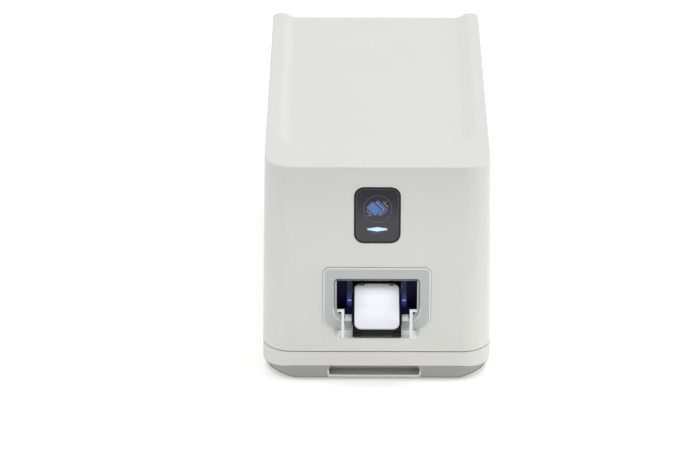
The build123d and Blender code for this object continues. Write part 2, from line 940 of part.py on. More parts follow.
# Carriage bushings
with BuildPart(incline) as carriage_bushings:
    for side in (-1, 1):
        rod_along(bush_outer, (side * rod_half, carriage_front, -rod_depth), carriage_length)
        rod_along(
            rod_radius + slip_gap,
            (side * rod_half, carriage_front, -rod_depth),
            carriage_length,
            mode=Mode.SUBTRACT,
        )
carriage_bushings.part.label = "carriage_bushings"
export_step(carriage_bushings.part, "parts/carriage_bushings.step")

# Lead nut
nut_flange_radius = 6.0
nut_flange = 2.0

with BuildPart(incline) as lead_nut:
    rod_along(nut_radius, (0, carriage_front, -screw_depth), carriage_length + nut_flange)
    rod_along(nut_flange_radius, (0, carriage_rear, -screw_depth), nut_flange)
    rod_along(
        screw_radius + slip_gap,
        (0, carriage_front, -screw_depth),
        carriage_length + nut_flange,
        mode=Mode.SUBTRACT,
    )
lead_nut.part.label = "lead_nut"
export_step(lead_nut.part, "parts/lead_nut.step")

# Plate clips
clip_x = 10.0
clip_half = 1.5
clip_reach = 2.2
clip_seat = 12.0
clip_gap = 0.3
clip_sheet = 0.8
clip_curl = 1.2
clip_tip = plate_length - clip_reach
clip_root = carriage_front + clip_seat

with BuildPart(incline) as plate_clips:
    for side in (-1, 1):
        clip_span = (side * clip_x - clip_half, side * clip_x + clip_half)
        slab(clip_span, (carriage_front, clip_root), (-carriage_top, clip_gap + clip_sheet))
        slab(clip_span, (clip_tip, carriage_front), (clip_gap, clip_gap + clip_sheet))
        slab(clip_span, (clip_tip, clip_tip + clip_sheet), (clip_gap, clip_gap + clip_sheet + clip_curl))
plate_clips.part.label = "plate_clips"
export_step(plate_clips.part, "parts/plate_clips.step")

# Front and rear blocks of the rail frame
block_low = 20.0
front_block_length = 4.0
front_block_gap = 0.5
front_block_top = 2.5
notch_side = 1.0
notch_low = 7.6
rear_block_gap = 2.0
rear_block_length = 6.0
rear_block_top = 2.0
bearing_radius = 5.0
rod_seat = 1.0
front_block_start = carriage_front - front_block_gap - front_block_length
notch_half = holder_half + notch_side
rear_block_start = cover_end + rear_block_gap

with BuildPart(incline) as front_block:
    slab(
        both(frame_half),
        (front_block_start, front_block_start + front_block_length),
        (-block_low, -front_block_top),
    )
    slab(
        both(notch_half),
        (front_block_start - overrun, front_block_start + front_block_length + overrun),
        (-notch_low, overrun),
        mode=Mode.SUBTRACT,
    )
    for side in (-1, 1):
        rod_along(
            rod_radius + slip_gap,
            (side * rod_half, front_block_start + rod_seat, -rod_depth),
            front_block_length,
            mode=Mode.SUBTRACT,
        )
    rod_along(
        bearing_radius + slip_gap,
        (0, front_block_start - overrun, -screw_depth),
        front_block_length + 2 * overrun,
        mode=Mode.SUBTRACT,
    )
front_block.part.label = "front_block"
export_step(front_block.part, "parts/front_block.step")

with BuildPart(incline) as rear_block:
    slab(
        both(frame_half),
        (rear_block_start, rear_block_start + rear_block_length),
        (-block_low, rear_block_top),
    )
    for side in (-1, 1):
        rod_along(
            rod_radius + slip_gap,
            (side * rod_half, rear_block_start - rod_seat, -rod_depth),
            rear_block_length,
            mode=Mode.SUBTRACT,
        )
    rod_along(
        bearing_radius + slip_gap,
        (0, rear_block_start - overrun, -screw_depth),
        rear_block_length + 2 * overrun,
        mode=Mode.SUBTRACT,
    )
rear_block.part.label = "rear_block"
export_step(rear_block.part, "parts/rear_block.step")

# Guide rods
rod_start = front_block_start + rod_seat
rod_end = rear_block_start + rear_block_length - rod_seat

with BuildPart(incline) as guide_rods:
    for side in (-1, 1):
        rod_along(rod_radius, (side * rod_half, rod_start, -rod_depth), rod_end - rod_start)
guide_rods.part.label = "guide_rods"
export_step(guide_rods.part, "parts/guide_rods.step")

# Screw bearings
with BuildPart(incline) as screw_bearings:
    rod_along(bearing_radius, (0, front_block_start, -screw_depth), front_block_length)
    rod_along(bearing_radius, (0, rear_block_start, -screw_depth), rear_block_length)
    rod_along(
        screw_radius + slip_gap,
        (0, front_block_start - overrun, -screw_depth),
        rear_block_start + rear_block_length - front_block_start + 2 * overrun,
        mode=Mode.SUBTRACT,
    )
screw_bearings.part.label = "screw_bearings"
export_step(screw_bearings.part, "parts/screw_bearings.step")

# Lead screw
screw_tail = 10.5
screw_end = rear_block_start + rear_block_length + screw_tail

with BuildPart(incline) as lead_screw:
    rod_along(screw_radius, (0, rod_start, -screw_depth), screw_end - rod_start)
lead_screw.part.label = "lead_screw"
export_step(lead_screw.part, "parts/lead_screw.step")

# Motor plate and drive motor
motor_setback = 21.0
motor_plate_thickness = 3.0
motor_size = 35.0
motor_length = 28.0
motor_chamfer = 3.0
motor_boss = 11.0
motor_boss_height = 2.0
shaft_radius = 2.5
shaft_depth = 6.0
motor_margin = 0.5
motor_plate_start = rear_block_start + rear_block_length + motor_setback
motor_start = motor_plate_start + motor_plate_thickness

with BuildPart(incline) as motor_plate:
    slab(
        both(frame_half),
        (motor_plate_start, motor_start),
        (-screw_depth - motor_size / 2 - motor_margin, -screw_depth + motor_size / 2 + motor_margin),
    )
    rod_along(
        motor_boss + fit_gap,
        (0, motor_plate_start - overrun, -screw_depth),
        motor_plate_thickness + 2 * overrun,
        mode=Mode.SUBTRACT,
    )
motor_plate.part.label = "motor_plate"
export_step(motor_plate.part, "parts/motor_plate.step")

with BuildPart(incline) as drive_motor:
    slab(
        both(motor_size / 2),
        (motor_start, motor_start + motor_length),
        (-screw_depth - motor_size / 2, -screw_depth + motor_size / 2),
    )
    motor_axis = Axis((0, 0, 0), tuple(incline.y_dir))
    chamfer(drive_motor.edges().filter_by(motor_axis), motor_chamfer)
    rod_along(motor_boss, (0, motor_start - motor_boss_height, -screw_depth), motor_boss_height)
    rod_along(
        shaft_radius + slip_gap,
        (0, motor_start - motor_boss_height, -screw_depth),
        motor_boss_height + shaft_depth,
        mode=Mode.SUBTRACT,
    )
drive_motor.part.label = "drive_motor"
export_step(drive_motor.part, "parts/drive_motor.step")

# Motor shaft and coupler
shaft_gap = 1.0
coupler_gap = 3.0
coupler_length = 16.0
coupler_radius = 8.0
shaft_start = screw_end + shaft_gap
coupler_start = rear_block_start + rear_block_length + coupler_gap
shaft_end = motor_start + shaft_depth - fit_gap

with BuildPart(incline) as motor_shaft:
    rod_along(shaft_radius, (0, shaft_start, -screw_depth), shaft_end - shaft_start)
motor_shaft.part.label = "motor_shaft"
export_step(motor_shaft.part, "parts/motor_shaft.step")

with BuildPart(incline) as shaft_coupler:
    rod_along(coupler_radius, (0, coupler_start, -screw_depth), coupler_length)
    rod_along(
        screw_radius + slip_gap,
        (0, coupler_start - overrun, -screw_depth),
        coupler_length + 2 * overrun,
        mode=Mode.SUBTRACT,
    )
shaft_coupler.part.label = "shaft_coupler"
export_step(shaft_coupler.part, "parts/shaft_coupler.step")

# Side frames of the transport
frame_foot = 9.5
frame_foot_sheet = 2.0
low_window_start = 25.0
low_window_length = 64.0
low_window_rise = 11.3
low_window_height = 28.0
high_window_start = 7.0
high_window_length = 44.0
high_window_drop = 7.0
high_window_height = 11.0
rear_window_drop = 6.0
rear_window_length = 28.0
rear_window_height = 42.0
window_corner = 4.0
windows = (
    (
        frame_front + low_window_start,
        floor_top + low_window_rise,
        low_window_length,
        low_window_height,
    ),
    (
        frame_front + high_window_start,
        bench_height - high_window_drop - high_window_height,
        high_window_length,
        high_window_height,
    ),
    (
        frame_rear - rear_window_drop - rear_window_length,
        floor_top + low_window_rise,
        rear_window_length,
        rear_window_height,
    ),
)

# Light path over the plate
scan_line = 80.0
collector_start = 82.5
collector_width = 8.0
collector_low = 3.5
collector_inset = 10.0
tube_gap = 1.5
tube_margin = 7.2
tube_start = frame_outer + tube_gap
tube_length = body_width / 2 - tube_margin - tube_start
tube_radius = 11.0
tube_hole = 7.5
tube_u = collector_start + collector_width / 2
tube_w = (collector_low + cover_low) / 2


def is_window_corner(edge):
    """True for the corners of the windows in a side frame."""
    middle = edge.center()
    inside_y = frame_front + slip_gap < middle.Y < frame_rear - slip_gap
    return inside_y and floor_top + 2 * frame_foot_sheet < middle.Z < bench_height - slip_gap


def side_frame(side):
    """One upright sheet with its foot and windows; side is -1 on the left and 1 on the right."""
    with BuildPart() as frame:
        slab(
            sorted((side * frame_half, side * frame_outer)),
            (frame_front, frame_rear),
            (floor_top, bench_height),
        )
        slab(
            sorted((side * frame_half, side * (frame_outer + frame_foot))),
            (frame_front, frame_rear),
            (floor_top, floor_top + frame_foot_sheet),
        )
        for low_y, low_z, length, height in windows:
            slab(
                sorted((side * (frame_half - overrun), side * (frame_outer + overrun))),
                (low_y, low_y + length),
                (low_z, low_z + height),
                mode=Mode.SUBTRACT,
            )
        fillet(frame.edges().filter_by(Axis.X).filter_by(is_window_corner), window_corner)
    return frame


left_side_frame = side_frame(-1)
left_side_frame.part.label = "left_side_frame"
export_step(left_side_frame.part, "parts/left_side_frame.step")

right_outline = side_frame(1)
with BuildPart() as right_side_frame:
    add(right_outline.part)
    with Locations(incline):
        rod_across(
            tube_hole,
            (frame_half - overrun, tube_u, tube_w),
            frame_sheet + 2 * overrun,
            mode=Mode.SUBTRACT,
        )
right_side_frame.part.label = "right_side_frame"
export_step(right_side_frame.part, "parts/right_side_frame.step")

# Ramp cover
cover_start = 60.0
slit_inset = 8.0
slit_lead = 4.0
slit_half = frame_half - slit_inset
slit_start = scan_line - slit_lead

with BuildPart(incline) as ramp_cover:
    slab(both(frame_half), (cover_start, cover_end), (cover_low, cover_low + cover_sheet))
    slab(
        both(slit_half),
        (slit_start, collector_start - fit_gap),
        (cover_low - overrun, cover_low + cover_sheet + overrun),
        mode=Mode.SUBTRACT,
    )
ramp_cover.part.label = "ramp_cover"
export_step(ramp_cover.part, "parts/ramp_cover.step")

# Light collector
with BuildPart(incline) as light_collector:
    slab(
        (collector_inset - frame_half, tube_start),
        (collector_start, collector_start + collector_width),
        (collector_low, cover_low),
    )
light_collector.part.label = "light_collector"
export_step(light_collector.part, "parts/light_collector.step")

# Photomultiplier and its pedestal
socket_length = 6.0
socket_step = 1.5
pedestal_gap = 10.0
pedestal_width = 10.0
pedestal_half = 10.0
pedestal_start = tube_start + pedestal_gap
tube_centre = incline.from_local_coords(Vector(tube_start, tube_u, tube_w))

with BuildPart(incline) as photomultiplier:
    rod_across(tube_radius, (tube_start, tube_u, tube_w), tube_length - socket_length)
    rod_across(tube_radius - socket_step, (tube_start, tube_u, tube_w), tube_length)
photomultiplier.part.label = "photomultiplier"
export_step(photomultiplier.part, "parts/photomultiplier.step")

with BuildPart() as tube_pedestal:
    slab(
        (pedestal_start, pedestal_start + pedestal_width),
        (tube_centre.Y - pedestal_half, tube_centre.Y + pedestal_half),
        (floor_top, tube_centre.Z),
    )
    rod_across(
        tube_radius + slip_gap,
        (pedestal_start - overrun, tube_centre.Y, tube_centre.Z),
        pedestal_width + 2 * overrun,
        mode=Mode.SUBTRACT,
    )
tube_pedestal.part.label = "tube_pedestal"
export_step(tube_pedestal.part, "parts/tube_pedestal.step")

# Erase lamp under the ramp cover
lamp_start = 104.0
lamp_depth = 12.0
lamp_inset = 10.0
lamp_sheet = 1.6
led_size = 3.0
led_height = 1.0
led_pitch = 5.5
led_count = 7
lamp_half = frame_half - lamp_inset

with BuildPart(incline) as erase_lamp:
    slab(both(lamp_half), (lamp_start, lamp_start + lamp_depth), (cover_low - lamp_sheet, cover_low))
    with Locations((0, lamp_start + lamp_depth / 2, cover_low - lamp_sheet - led_height)):
        with GridLocations(led_pitch, led_pitch, led_count, 1):
            Box(led_size, led_size, led_height, align=FOOT)
erase_lamp.part.label = "erase_lamp"
export_step(erase_lamp.part, "parts/erase_lamp.step")

# Optics bench
bench_inset = 19.2
bench_lead = 10.5
bench_tail = 30.0
beam_height = 10.0
beam_slot_width = 9.0
bench_corner = 5.0
polygon_throw = 76.5
mirror_z = bench_top + beam_height
line_point = incline.from_local_coords(Vector(0, scan_line, 0))
mirror_y = line_point.Y - (mirror_z - line_point.Z) * tan(radians(path_angle))
slot_y = line_point.Y - (bench_height + bench_thickness / 2 - line_point.Z) * tan(radians(path_angle))
bench_half = body_width / 2 - bench_inset
polygon_y = mirror_y + polygon_throw
bench_front = mirror_y - bench_lead
bench_rear = polygon_y + bench_tail

with BuildPart() as optics_bench:
    with BuildSketch(Plane.XY.offset(bench_height)):
        with Locations((0, (bench_front + bench_rear) / 2)):
            RectangleRounded(2 * bench_half, bench_rear - bench_front, bench_corner)
        with Locations((0, slot_y)):
            Rectangle(2 * slit_half, beam_slot_width, mode=Mode.SUBTRACT)
    extrude(amount=bench_thickness)
optics_bench.part.label = "optics_bench"
export_step(optics_bench.part, "parts/optics_bench.step")

# Fold mirror and its holder
mirror_half_width = 26.0
mirror_half_height = 7.0
mirror_thickness = 3.0
holder_cheek = 3.0
holder_reach = 9.0
holder_top = 8.0
fold_tilt = (90.0 - path_angle) / 2
fold_plane = Plane(
    origin=(0, mirror_y, mirror_z),
    x_dir=(1, 0, 0),
    z_dir=(0, cos(radians(fold_tilt)), -sin(radians(fold_tilt))),
)

with BuildPart(fold_plane) as fold_mirror:
    slab(both(mirror_half_width), both(mirror_half_height), (-mirror_thickness, 0))
fold_mirror.part.label = "fold_mirror"
export_step(fold_mirror.part, "parts/fold_mirror.step")

with BuildPart() as mirror_holder:
    for side in (-1, 1):
        slab(
            sorted((side * mirror_half_width, side * (mirror_half_width + holder_cheek))),
            (mirror_y - holder_reach, mirror_y + holder_reach),
            (bench_top, mirror_z + holder_top),
        )
mirror_holder.part.label = "mirror_holder"
export_step(mirror_holder.part, "parts/mirror_holder.step")

# Polygon motor and polygon mirror
polygon_radius = 14.0
polygon_height = 6.0
polygon_sides = 6
stator_radius = 12.0
spindle_radius = 2.0
spindle_over = 2.0
polygon_low = mirror_z - polygon_height / 2

with BuildPart() as polygon_motor:
    post(stator_radius, (0, polygon_y, bench_top), polygon_low - fit_gap - bench_top)
    post(spindle_radius, (0, polygon_y, bench_top), polygon_low + polygon_height + spindle_over - bench_top)
polygon_motor.part.label = "polygon_motor"
export_step(polygon_motor.part, "parts/polygon_motor.step")

with BuildPart() as polygon_mirror:
    with BuildSketch(Plane.XY.offset(polygon_low)):
        with Locations((0, polygon_y)):
            RegularPolygon(polygon_radius, polygon_sides)
            Circle(spindle_radius + slip_gap, mode=Mode.SUBTRACT)
    extrude(amount=polygon_height)
polygon_mirror.part.label = "polygon_mirror"
export_step(polygon_mirror.part, "parts/polygon_mirror.step")

# Laser module and its clamp
laser_start = 26.0
laser_length = 26.0
laser_radius = 5.0
laser_lead = 6.0
laser_y = polygon_y - laser_lead
clamp_start = 32.0
clamp_width = 12.0
clamp_half = 8.0
clamp_over = 7.0

with BuildPart() as laser_module:
    rod_across(laser_radius, (laser_start, laser_y, mirror_z), laser_length)
laser_module.part.label = "laser_module"
export_step(laser_module.part, "parts/laser_module.step")

with BuildPart() as laser_clamp:
    slab(
        (clamp_start, clamp_start + clamp_width),
        (laser_y - clamp_half, laser_y + clamp_half),
        (bench_top, mirror_z + clamp_over),
    )
    rod_across(laser_radius + slip_gap, (laser_start, laser_y, mirror_z), laser_length, mode=Mode.SUBTRACT)
laser_clamp.part.label = "laser_clamp"
export_step(laser_clamp.part, "parts/laser_clamp.step")

# Scan lens
lens_half = 23.0
lens_edge = 4.0
lens_bulge = 3.5
lens_throw = 44.5
lens_y = mirror_y + lens_throw

with BuildPart() as scan_lens:
    with BuildSketch(Plane.XY.offset(bench_top)):
        with BuildLine():
            ThreePointArc(
                (-lens_half, lens_y - lens_edge),
                (0, lens_y - lens_edge - lens_bulge),
                (lens_half, lens_y - lens_edge),
            )
            Line((lens_half, lens_y - lens_edge), (lens_half, lens_y + lens_edge))
            ThreePointArc(
                (lens_half, lens_y + lens_edge),
                (0, lens_y + lens_edge - lens_bulge / 2),
                (-lens_half, lens_y + lens_edge),
            )
            Line((-lens_half, lens_y + lens_edge), (-lens_half, lens_y - lens_edge))
        make_face()
    extrude(amount=optics_height)
scan_lens.part.label = "scan_lens"
export_step(scan_lens.part, "parts/scan_lens.step")

# Boards on their spacers
board_sheet = 1.6
spacer_height = 4.3
spacer_radius = 3.0
spacer_inset = 5.0
chip_height = 2.0
main_side = 3.0
main_lead = 15.0
main_tail = 12.0
power_side = 31.2
chip_share = 0.45
core_share = 0.5
board_low = floor_top + spacer_height
board_top = board_low + board_sheet
core_height = 24.0
cap_radius = 7.0
cap_height = 20.0
main_half = frame_half - main_side
main_front = frame_front + main_lead
main_rear = frame_rear - main_tail
power_half = body_width / 2 - power_side
power_middle = (power_front + power_rear) / 2

with BuildPart() as main_board:
    slab(both(main_half), (main_front, main_rear), (board_low, board_top))
    for row in (-1, 0, 1):
        chip_y = (main_front + main_rear) / 2 + row * (main_rear - main_front) / 3
        slab(
            both(main_half * chip_share),
            (chip_y - main_half * chip_share, chip_y + main_half * chip_share),
            (board_top, board_top + chip_height),
        )
main_board.part.label = "main_board"
export_step(main_board.part, "parts/main_board.step")

with BuildPart() as power_board:
    slab(both(power_half), (power_front, power_rear), (board_low, board_top))
    slab(
        (-power_half * core_share, power_half * core_share),
        (power_front + spacer_inset * 2, power_rear - spacer_inset * 3),
        (board_top, board_top + core_height),
    )
    for side in (-1, 1):
        post(cap_radius, (side * (power_half - 2 * cap_radius), power_middle, board_top), cap_height)
power_board.part.label = "power_board"
export_step(power_board.part, "parts/power_board.step")

with BuildPart() as board_spacers:
    for half, front, rear in ((main_half, main_front, main_rear), (power_half, power_front, power_rear)):
        with Locations((0, (front + rear) / 2, floor_top)):
            with GridLocations(2 * (half - spacer_inset), rear - front - 2 * spacer_inset, 2, 2):
                Cylinder(spacer_radius, spacer_height, align=FOOT)
board_spacers.part.label = "board_spacers"
export_step(board_spacers.part, "parts/board_spacers.step")

# Rear panel
panel_relief = 0.4
flange_sheet = 2.0
fan_drop = 38.0
fan_size = 60.0
fan_depth = 15.0
fan_hole = 28.5
grille_pitch = 4.0
grille_bar = 1.4
grille_rings = 6
spoke_width = 3.0
vent_gap = 4.0
vent_width = 2.6
vent_pitch = 5.4
vent_rows = 9
port_v = 18.0
inlet_inset = 14.0
network_x = 6.0
switch_inset = 15.0
inlet_radius = 6.0
network_width = 16.0
network_height = 13.5
switch_width = 13.0
switch_height = 19.0
fan_v = rear_hole_high - parting_height - fan_drop
vent_length = rear_hole_width / 2 - fan_size / 2 - 2 * vent_gap
vent_x = fan_size / 2 + vent_gap + vent_length / 2
inlet_x = inlet_inset - rear_hole_width / 2
switch_x = rear_hole_width / 2 - switch_inset
flange_width = rear_hole_width + 2 * rear_flange
flange_height = rear_hole_height + 2 * rear_flange
panel_back = wall + flange_sheet

with BuildPart() as rear_panel:
    with BuildSketch(rear_face.offset(-panel_back)):
        with Locations((0, rear_middle)):
            RectangleRounded(flange_width, flange_height, rear_hole_corner)
            with GridLocations(rear_screw_span_x, rear_screw_span_v, 2, 2):
                Circle(rear_screw_radius + slip_gap, mode=Mode.SUBTRACT)
    extrude(amount=flange_sheet)
    with BuildSketch(rear_face.offset(-wall)):
        with Locations((0, rear_middle)):
            RectangleRounded(
                rear_hole_width - 2 * fit_gap, rear_hole_height - 2 * fit_gap, rear_hole_corner - fit_gap
            )
    extrude(amount=wall - panel_relief)
    with BuildSketch(rear_face.offset(-panel_back - overrun)):
        with Locations((0, fan_v)):
            for ring in range(grille_rings):
                ring_outer = fan_hole - ring * grille_pitch
                with BuildSketch(mode=Mode.PRIVATE) as ring_hole:
                    Circle(ring_outer)
                    Circle(ring_outer - grille_pitch + grille_bar, mode=Mode.SUBTRACT)
                add(ring_hole.sketch)
            Rectangle(2 * fan_hole, spoke_width, mode=Mode.SUBTRACT)
            Rectangle(spoke_width, 2 * fan_hole, mode=Mode.SUBTRACT)
            with GridLocations(2 * vent_x, vent_pitch, 2, vent_rows):
                SlotOverall(vent_length, vent_width)
    extrude(amount=panel_back + 2 * overrun, mode=Mode.SUBTRACT)
    with BuildSketch(rear_face.offset(-panel_back - overrun)):
        with Locations((inlet_x, port_v)):
            Circle(inlet_radius + fit_gap)
        with Locations((network_x, port_v)):
            Rectangle(network_width + 2 * fit_gap, network_height + 2 * fit_gap)
        with Locations((switch_x, port_v + switch_height / 4)):
            Rectangle(switch_width + 2 * fit_gap, switch_height + 2 * fit_gap)
    extrude(amount=panel_back + 2 * overrun, mode=Mode.SUBTRACT)
rear_panel.part.label = "rear_panel"
export_step(rear_panel.part, "parts/rear_panel.step")

# Rear panel screws
rear_head_radius = 2.6
rear_head_height = 1.4
rear_socket = 1.3
rear_socket_depth = 0.9

with BuildPart() as rear_screws:
    with BuildSketch(rear_face.offset(-panel_back)):
        with Locations((0, rear_middle)):
            with GridLocations(rear_screw_span_x, rear_screw_span_v, 2, 2):
                Circle(rear_screw_radius)
    extrude(amount=panel_back)
    with BuildSketch(rear_face):
        with Locations((0, rear_middle)):
            with GridLocations(rear_screw_span_x, rear_screw_span_v, 2, 2):
                Circle(rear_head_radius)
    extrude(amount=rear_head_height)
    with BuildSketch(rear_face.offset(rear_head_height - rear_socket_depth)):
        with Locations((0, rear_middle)):
            with GridLocations(rear_screw_span_x, rear_screw_span_v, 2, 2):
                RegularPolygon(rear_socket, 6)
    extrude(amount=rear_socket_depth, mode=Mode.SUBTRACT)
rear_screws.part.label = "rear_screws"
export_step(rear_screws.part, "parts/rear_screws.step")

# Fan
hub_radius = 11.5
boss_pin_radius = 3.0
fan_web = 2.0
strut_width = 3.0
blade_count = 7
blade_reach = 27.5
blade_thickness = 1.6
blade_pitch_angle = 38.0
blade_margin = 1.0
fan_front = panel_back + fan_depth
fan_corner = 4.0

with BuildPart() as fan_frame:
    with BuildSketch(rear_face.offset(-fan_front)):
        with Locations((0, fan_v)):
            RectangleRounded(fan_size, fan_size, fan_corner)
            Circle(fan_hole, mode=Mode.SUBTRACT)
    extrude(amount=fan_depth)
    with BuildSketch(rear_face.offset(-fan_front)):
        with Locations((0, fan_v)):
            Circle(hub_radius)
            Rectangle(2 * fan_hole + fan_web, strut_width)
            Rectangle(strut_width, 2 * fan_hole + fan_web)
    extrude(amount=fan_web)
    with BuildSketch(rear_face.offset(-fan_front)):
        with Locations((0, fan_v)):
            Circle(boss_pin_radius)
    extrude(amount=fan_depth - fan_web - blade_margin)
fan_frame.part.label = "fan_frame"
export_step(fan_frame.part, "parts/fan_frame.step")

rotor_start = fan_front - fan_web - blade_margin
rotor_depth = fan_depth - fan_web - 2 * blade_margin
blade_height = rotor_depth - blade_margin
rotor_plane = rear_face.offset(-rotor_start)
hub_plane = Plane(
    origin=rotor_plane.from_local_coords(Vector(0, fan_v, 0)),
    x_dir=rotor_plane.x_dir,
    z_dir=rotor_plane.z_dir,
)

with BuildPart(hub_plane) as fan_rotor:
    with PolarLocations((hub_radius + blade_reach) / 2, blade_count):
        with Locations((0, 0, rotor_depth / 2)):
            Box(
                blade_reach - hub_radius + blade_margin,
                blade_thickness,
                blade_height,
                rotation=(blade_pitch_angle, 0, 0),
            )
    with Locations((0, 0, rotor_depth / 2)):
        Cylinder(blade_reach, rotor_depth, mode=Mode.INTERSECT)
    post(hub_radius, (0, 0, 0), rotor_depth)
    post(
        boss_pin_radius + slip_gap,
        (0, 0, -overrun),
        rotor_depth + overrun - blade_margin,
        mode=Mode.SUBTRACT,
    )
fan_rotor.part.label = "fan_rotor"
export_step(fan_rotor.part, "parts/fan_rotor.step")

# Rear connectors
inlet_bore = 3.2
inlet_bore_depth = 9.0
inlet_pin = 1.0
inlet_length = 14.0
network_length = 18.0
network_mouth_width = 12.0
network_mouth_height = 8.0
network_mouth_depth = 11.0

with BuildPart(rear_face) as power_inlet:
    post(inlet_radius, (inlet_x, port_v, -inlet_length), inlet_length)
    post(
        inlet_bore,
        (inlet_x, port_v, -inlet_bore_depth),
        inlet_bore_depth + overrun,
        mode=Mode.SUBTRACT,
    )
    post(inlet_pin, (inlet_x, port_v, -inlet_bore_depth), inlet_bore_depth - 2 * inlet_pin)
power_inlet.part.label = "power_inlet"
export_step(power_inlet.part, "parts/power_inlet.step")

with BuildPart(rear_face) as network_port:
    slab(
        (network_x - network_width / 2, network_x + network_width / 2),
        (port_v - network_height / 2, port_v + network_height / 2),
        (-network_length, 0),
    )
    slab(
        (network_x - network_mouth_width / 2, network_x + network_mouth_width / 2),
        (port_v - network_mouth_height / 2, port_v + network_mouth_height / 2),
        (-network_mouth_depth, overrun),
        mode=Mode.SUBTRACT,
    )
network_port.part.label = "network_port"
export_step(network_port.part, "parts/network_port.step")

# Power switch
switch_flange = 1.4
switch_flange_height = 0.8
switch_depth = 14.0
switch_wall = 1.1
rocker_half = 6.3
rocker_high = 4.4
rocker_middle = 1.9
rocker_low = 1.2
rocker_edge = 1.6
rocker_keel = 4.6
rocker_axis_depth = 2.0
rocker_pin = 1.0
switch_v = port_v + switch_height / 4
rocker_width = switch_width - 2 * switch_wall - 2 * fit_gap
rocker_plane = Plane(
    origin=rear_face.from_local_coords(Vector(switch_x, switch_v, -rocker_axis_depth)),
    x_dir=rear_face.y_dir,
    z_dir=rear_face.x_dir,
)

with BuildPart(rear_face) as switch_frame:
    slab(
        (switch_x - switch_width / 2 - switch_flange, switch_x + switch_width / 2 + switch_flange),
        (switch_v - switch_height / 2 - switch_flange, switch_v + switch_height / 2 + switch_flange),
        (-panel_relief, switch_flange_height),
    )
    slab(
        (switch_x - switch_width / 2, switch_x + switch_width / 2),
        (switch_v - switch_height / 2, switch_v + switch_height / 2),
        (-switch_depth, switch_flange_height),
    )
    slab(
        (switch_x - switch_width / 2 + switch_wall, switch_x + switch_width / 2 - switch_wall),
        (switch_v - switch_height / 2 + switch_wall, switch_v + switch_height / 2 - switch_wall),
        (-switch_depth + switch_wall, switch_flange_height + overrun),
        mode=Mode.SUBTRACT,
    )
    rod_across(
        rocker_pin,
        (switch_x - switch_width / 2 + switch_wall / 2, switch_v, -rocker_axis_depth),
        switch_width - switch_wall,
    )
switch_frame.part.label = "switch_frame"
export_step(switch_frame.part, "parts/switch_frame.step")

with BuildPart() as switch_rocker:
    with BuildSketch(rocker_plane):
        with BuildLine():
            Polyline(
                (-rocker_half, rocker_low),
                (0, rocker_middle),
                (rocker_half, rocker_high),
                (rocker_half, -rocker_edge),
                (0, -rocker_keel),
                (-rocker_half, -rocker_edge),
                close=True,
            )
        make_face()
        Circle(rocker_pin + slip_gap, mode=Mode.SUBTRACT)
    extrude(amount=rocker_width / 2, both=True)
switch_rocker.part.label = "switch_rocker"
export_step(switch_rocker.part, "parts/switch_rocker.step")
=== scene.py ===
from math import atan2, cos, pi, radians, sin

import bpy
import bmesh
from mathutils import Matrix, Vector
from mathutils.bvhtree import BVHTree


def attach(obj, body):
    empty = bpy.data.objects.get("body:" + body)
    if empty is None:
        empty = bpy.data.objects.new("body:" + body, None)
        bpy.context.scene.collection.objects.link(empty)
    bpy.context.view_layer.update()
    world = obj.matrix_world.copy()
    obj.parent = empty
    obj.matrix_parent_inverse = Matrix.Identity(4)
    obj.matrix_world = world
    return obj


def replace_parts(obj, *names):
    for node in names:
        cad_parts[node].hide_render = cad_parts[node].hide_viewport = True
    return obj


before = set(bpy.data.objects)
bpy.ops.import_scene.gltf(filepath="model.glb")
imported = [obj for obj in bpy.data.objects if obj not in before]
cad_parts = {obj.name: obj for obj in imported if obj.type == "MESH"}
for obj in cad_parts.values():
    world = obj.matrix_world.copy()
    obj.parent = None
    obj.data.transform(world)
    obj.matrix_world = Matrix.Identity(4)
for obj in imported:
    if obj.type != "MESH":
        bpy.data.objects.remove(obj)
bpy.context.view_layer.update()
scene = bpy.context.scene

MM = 0.001

# The housing in millimetres: its faces lean in above the parting line
BODY_SHIFT = 7.0
HALF_DEPTH = 137.0
PARTING = 24.0
BODY_RISE = 136.0
LEAN_IN = 2.2
LEAN = atan2(LEAN_IN, BODY_RISE)
FRONT_Y = BODY_SHIFT - HALF_DEPTH
REAR_Y = BODY_SHIFT + HALF_DEPTH

# The plate's path: its slope, and its start in millimetres
PATH_ANGLE = radians(20.0)
PATH_Y, PATH_Z = -143.5, 48.5


def on_front(x, height, out):
    """A point given on the leaning front face, in metres."""
    v = height - PARTING
    return Vector((
        x,
        FRONT_Y + v * sin(LEAN) - out * cos(LEAN),
        PARTING + v * cos(LEAN) + out * sin(LEAN),
    )) * MM


def on_rear(x, height, out):
    """A point given on the leaning rear face as seen from behind, in metres."""
    v = height - PARTING
    return Vector((
        -x,
        REAR_Y - v * sin(LEAN) + out * cos(LEAN),
        PARTING + v * cos(LEAN) + out * sin(LEAN),
    )) * MM


def on_path(x, along, above):
    """A point given along the plate's sloping path, in metres."""
    return Vector((
        x,
        PATH_Y + along * cos(PATH_ANGLE) - above * sin(PATH_ANGLE),
        PATH_Z + along * sin(PATH_ANGLE) + above * cos(PATH_ANGLE),
    )) * MM


def linear(colour):
    """A colour of 0 to 255 as the renderer's linear values, by the sRGB curve."""
    shares = [c / 255 for c in colour]
    return [s / 12.92 if s <= 0.04045 else ((s + 0.055) / 1.055) ** 2.4 for s in shares]


# Materials: noise scales are per metre, and relief and edge radii in millimetres
EVEN = (1, 1, 1)
ALONG_Z = (1, 1, 30)
WHITE = (1, 1, 1, 1)
NOISE_DETAIL = 2.0
NOISE_BAND = (0.3, 0.7)
MOTTLE_DETAIL = 3.0
MOTTLE_BAND = (0.35, 0.65)
BEVEL_SAMPLES = 4
PATCH_SOFT = 0.0003


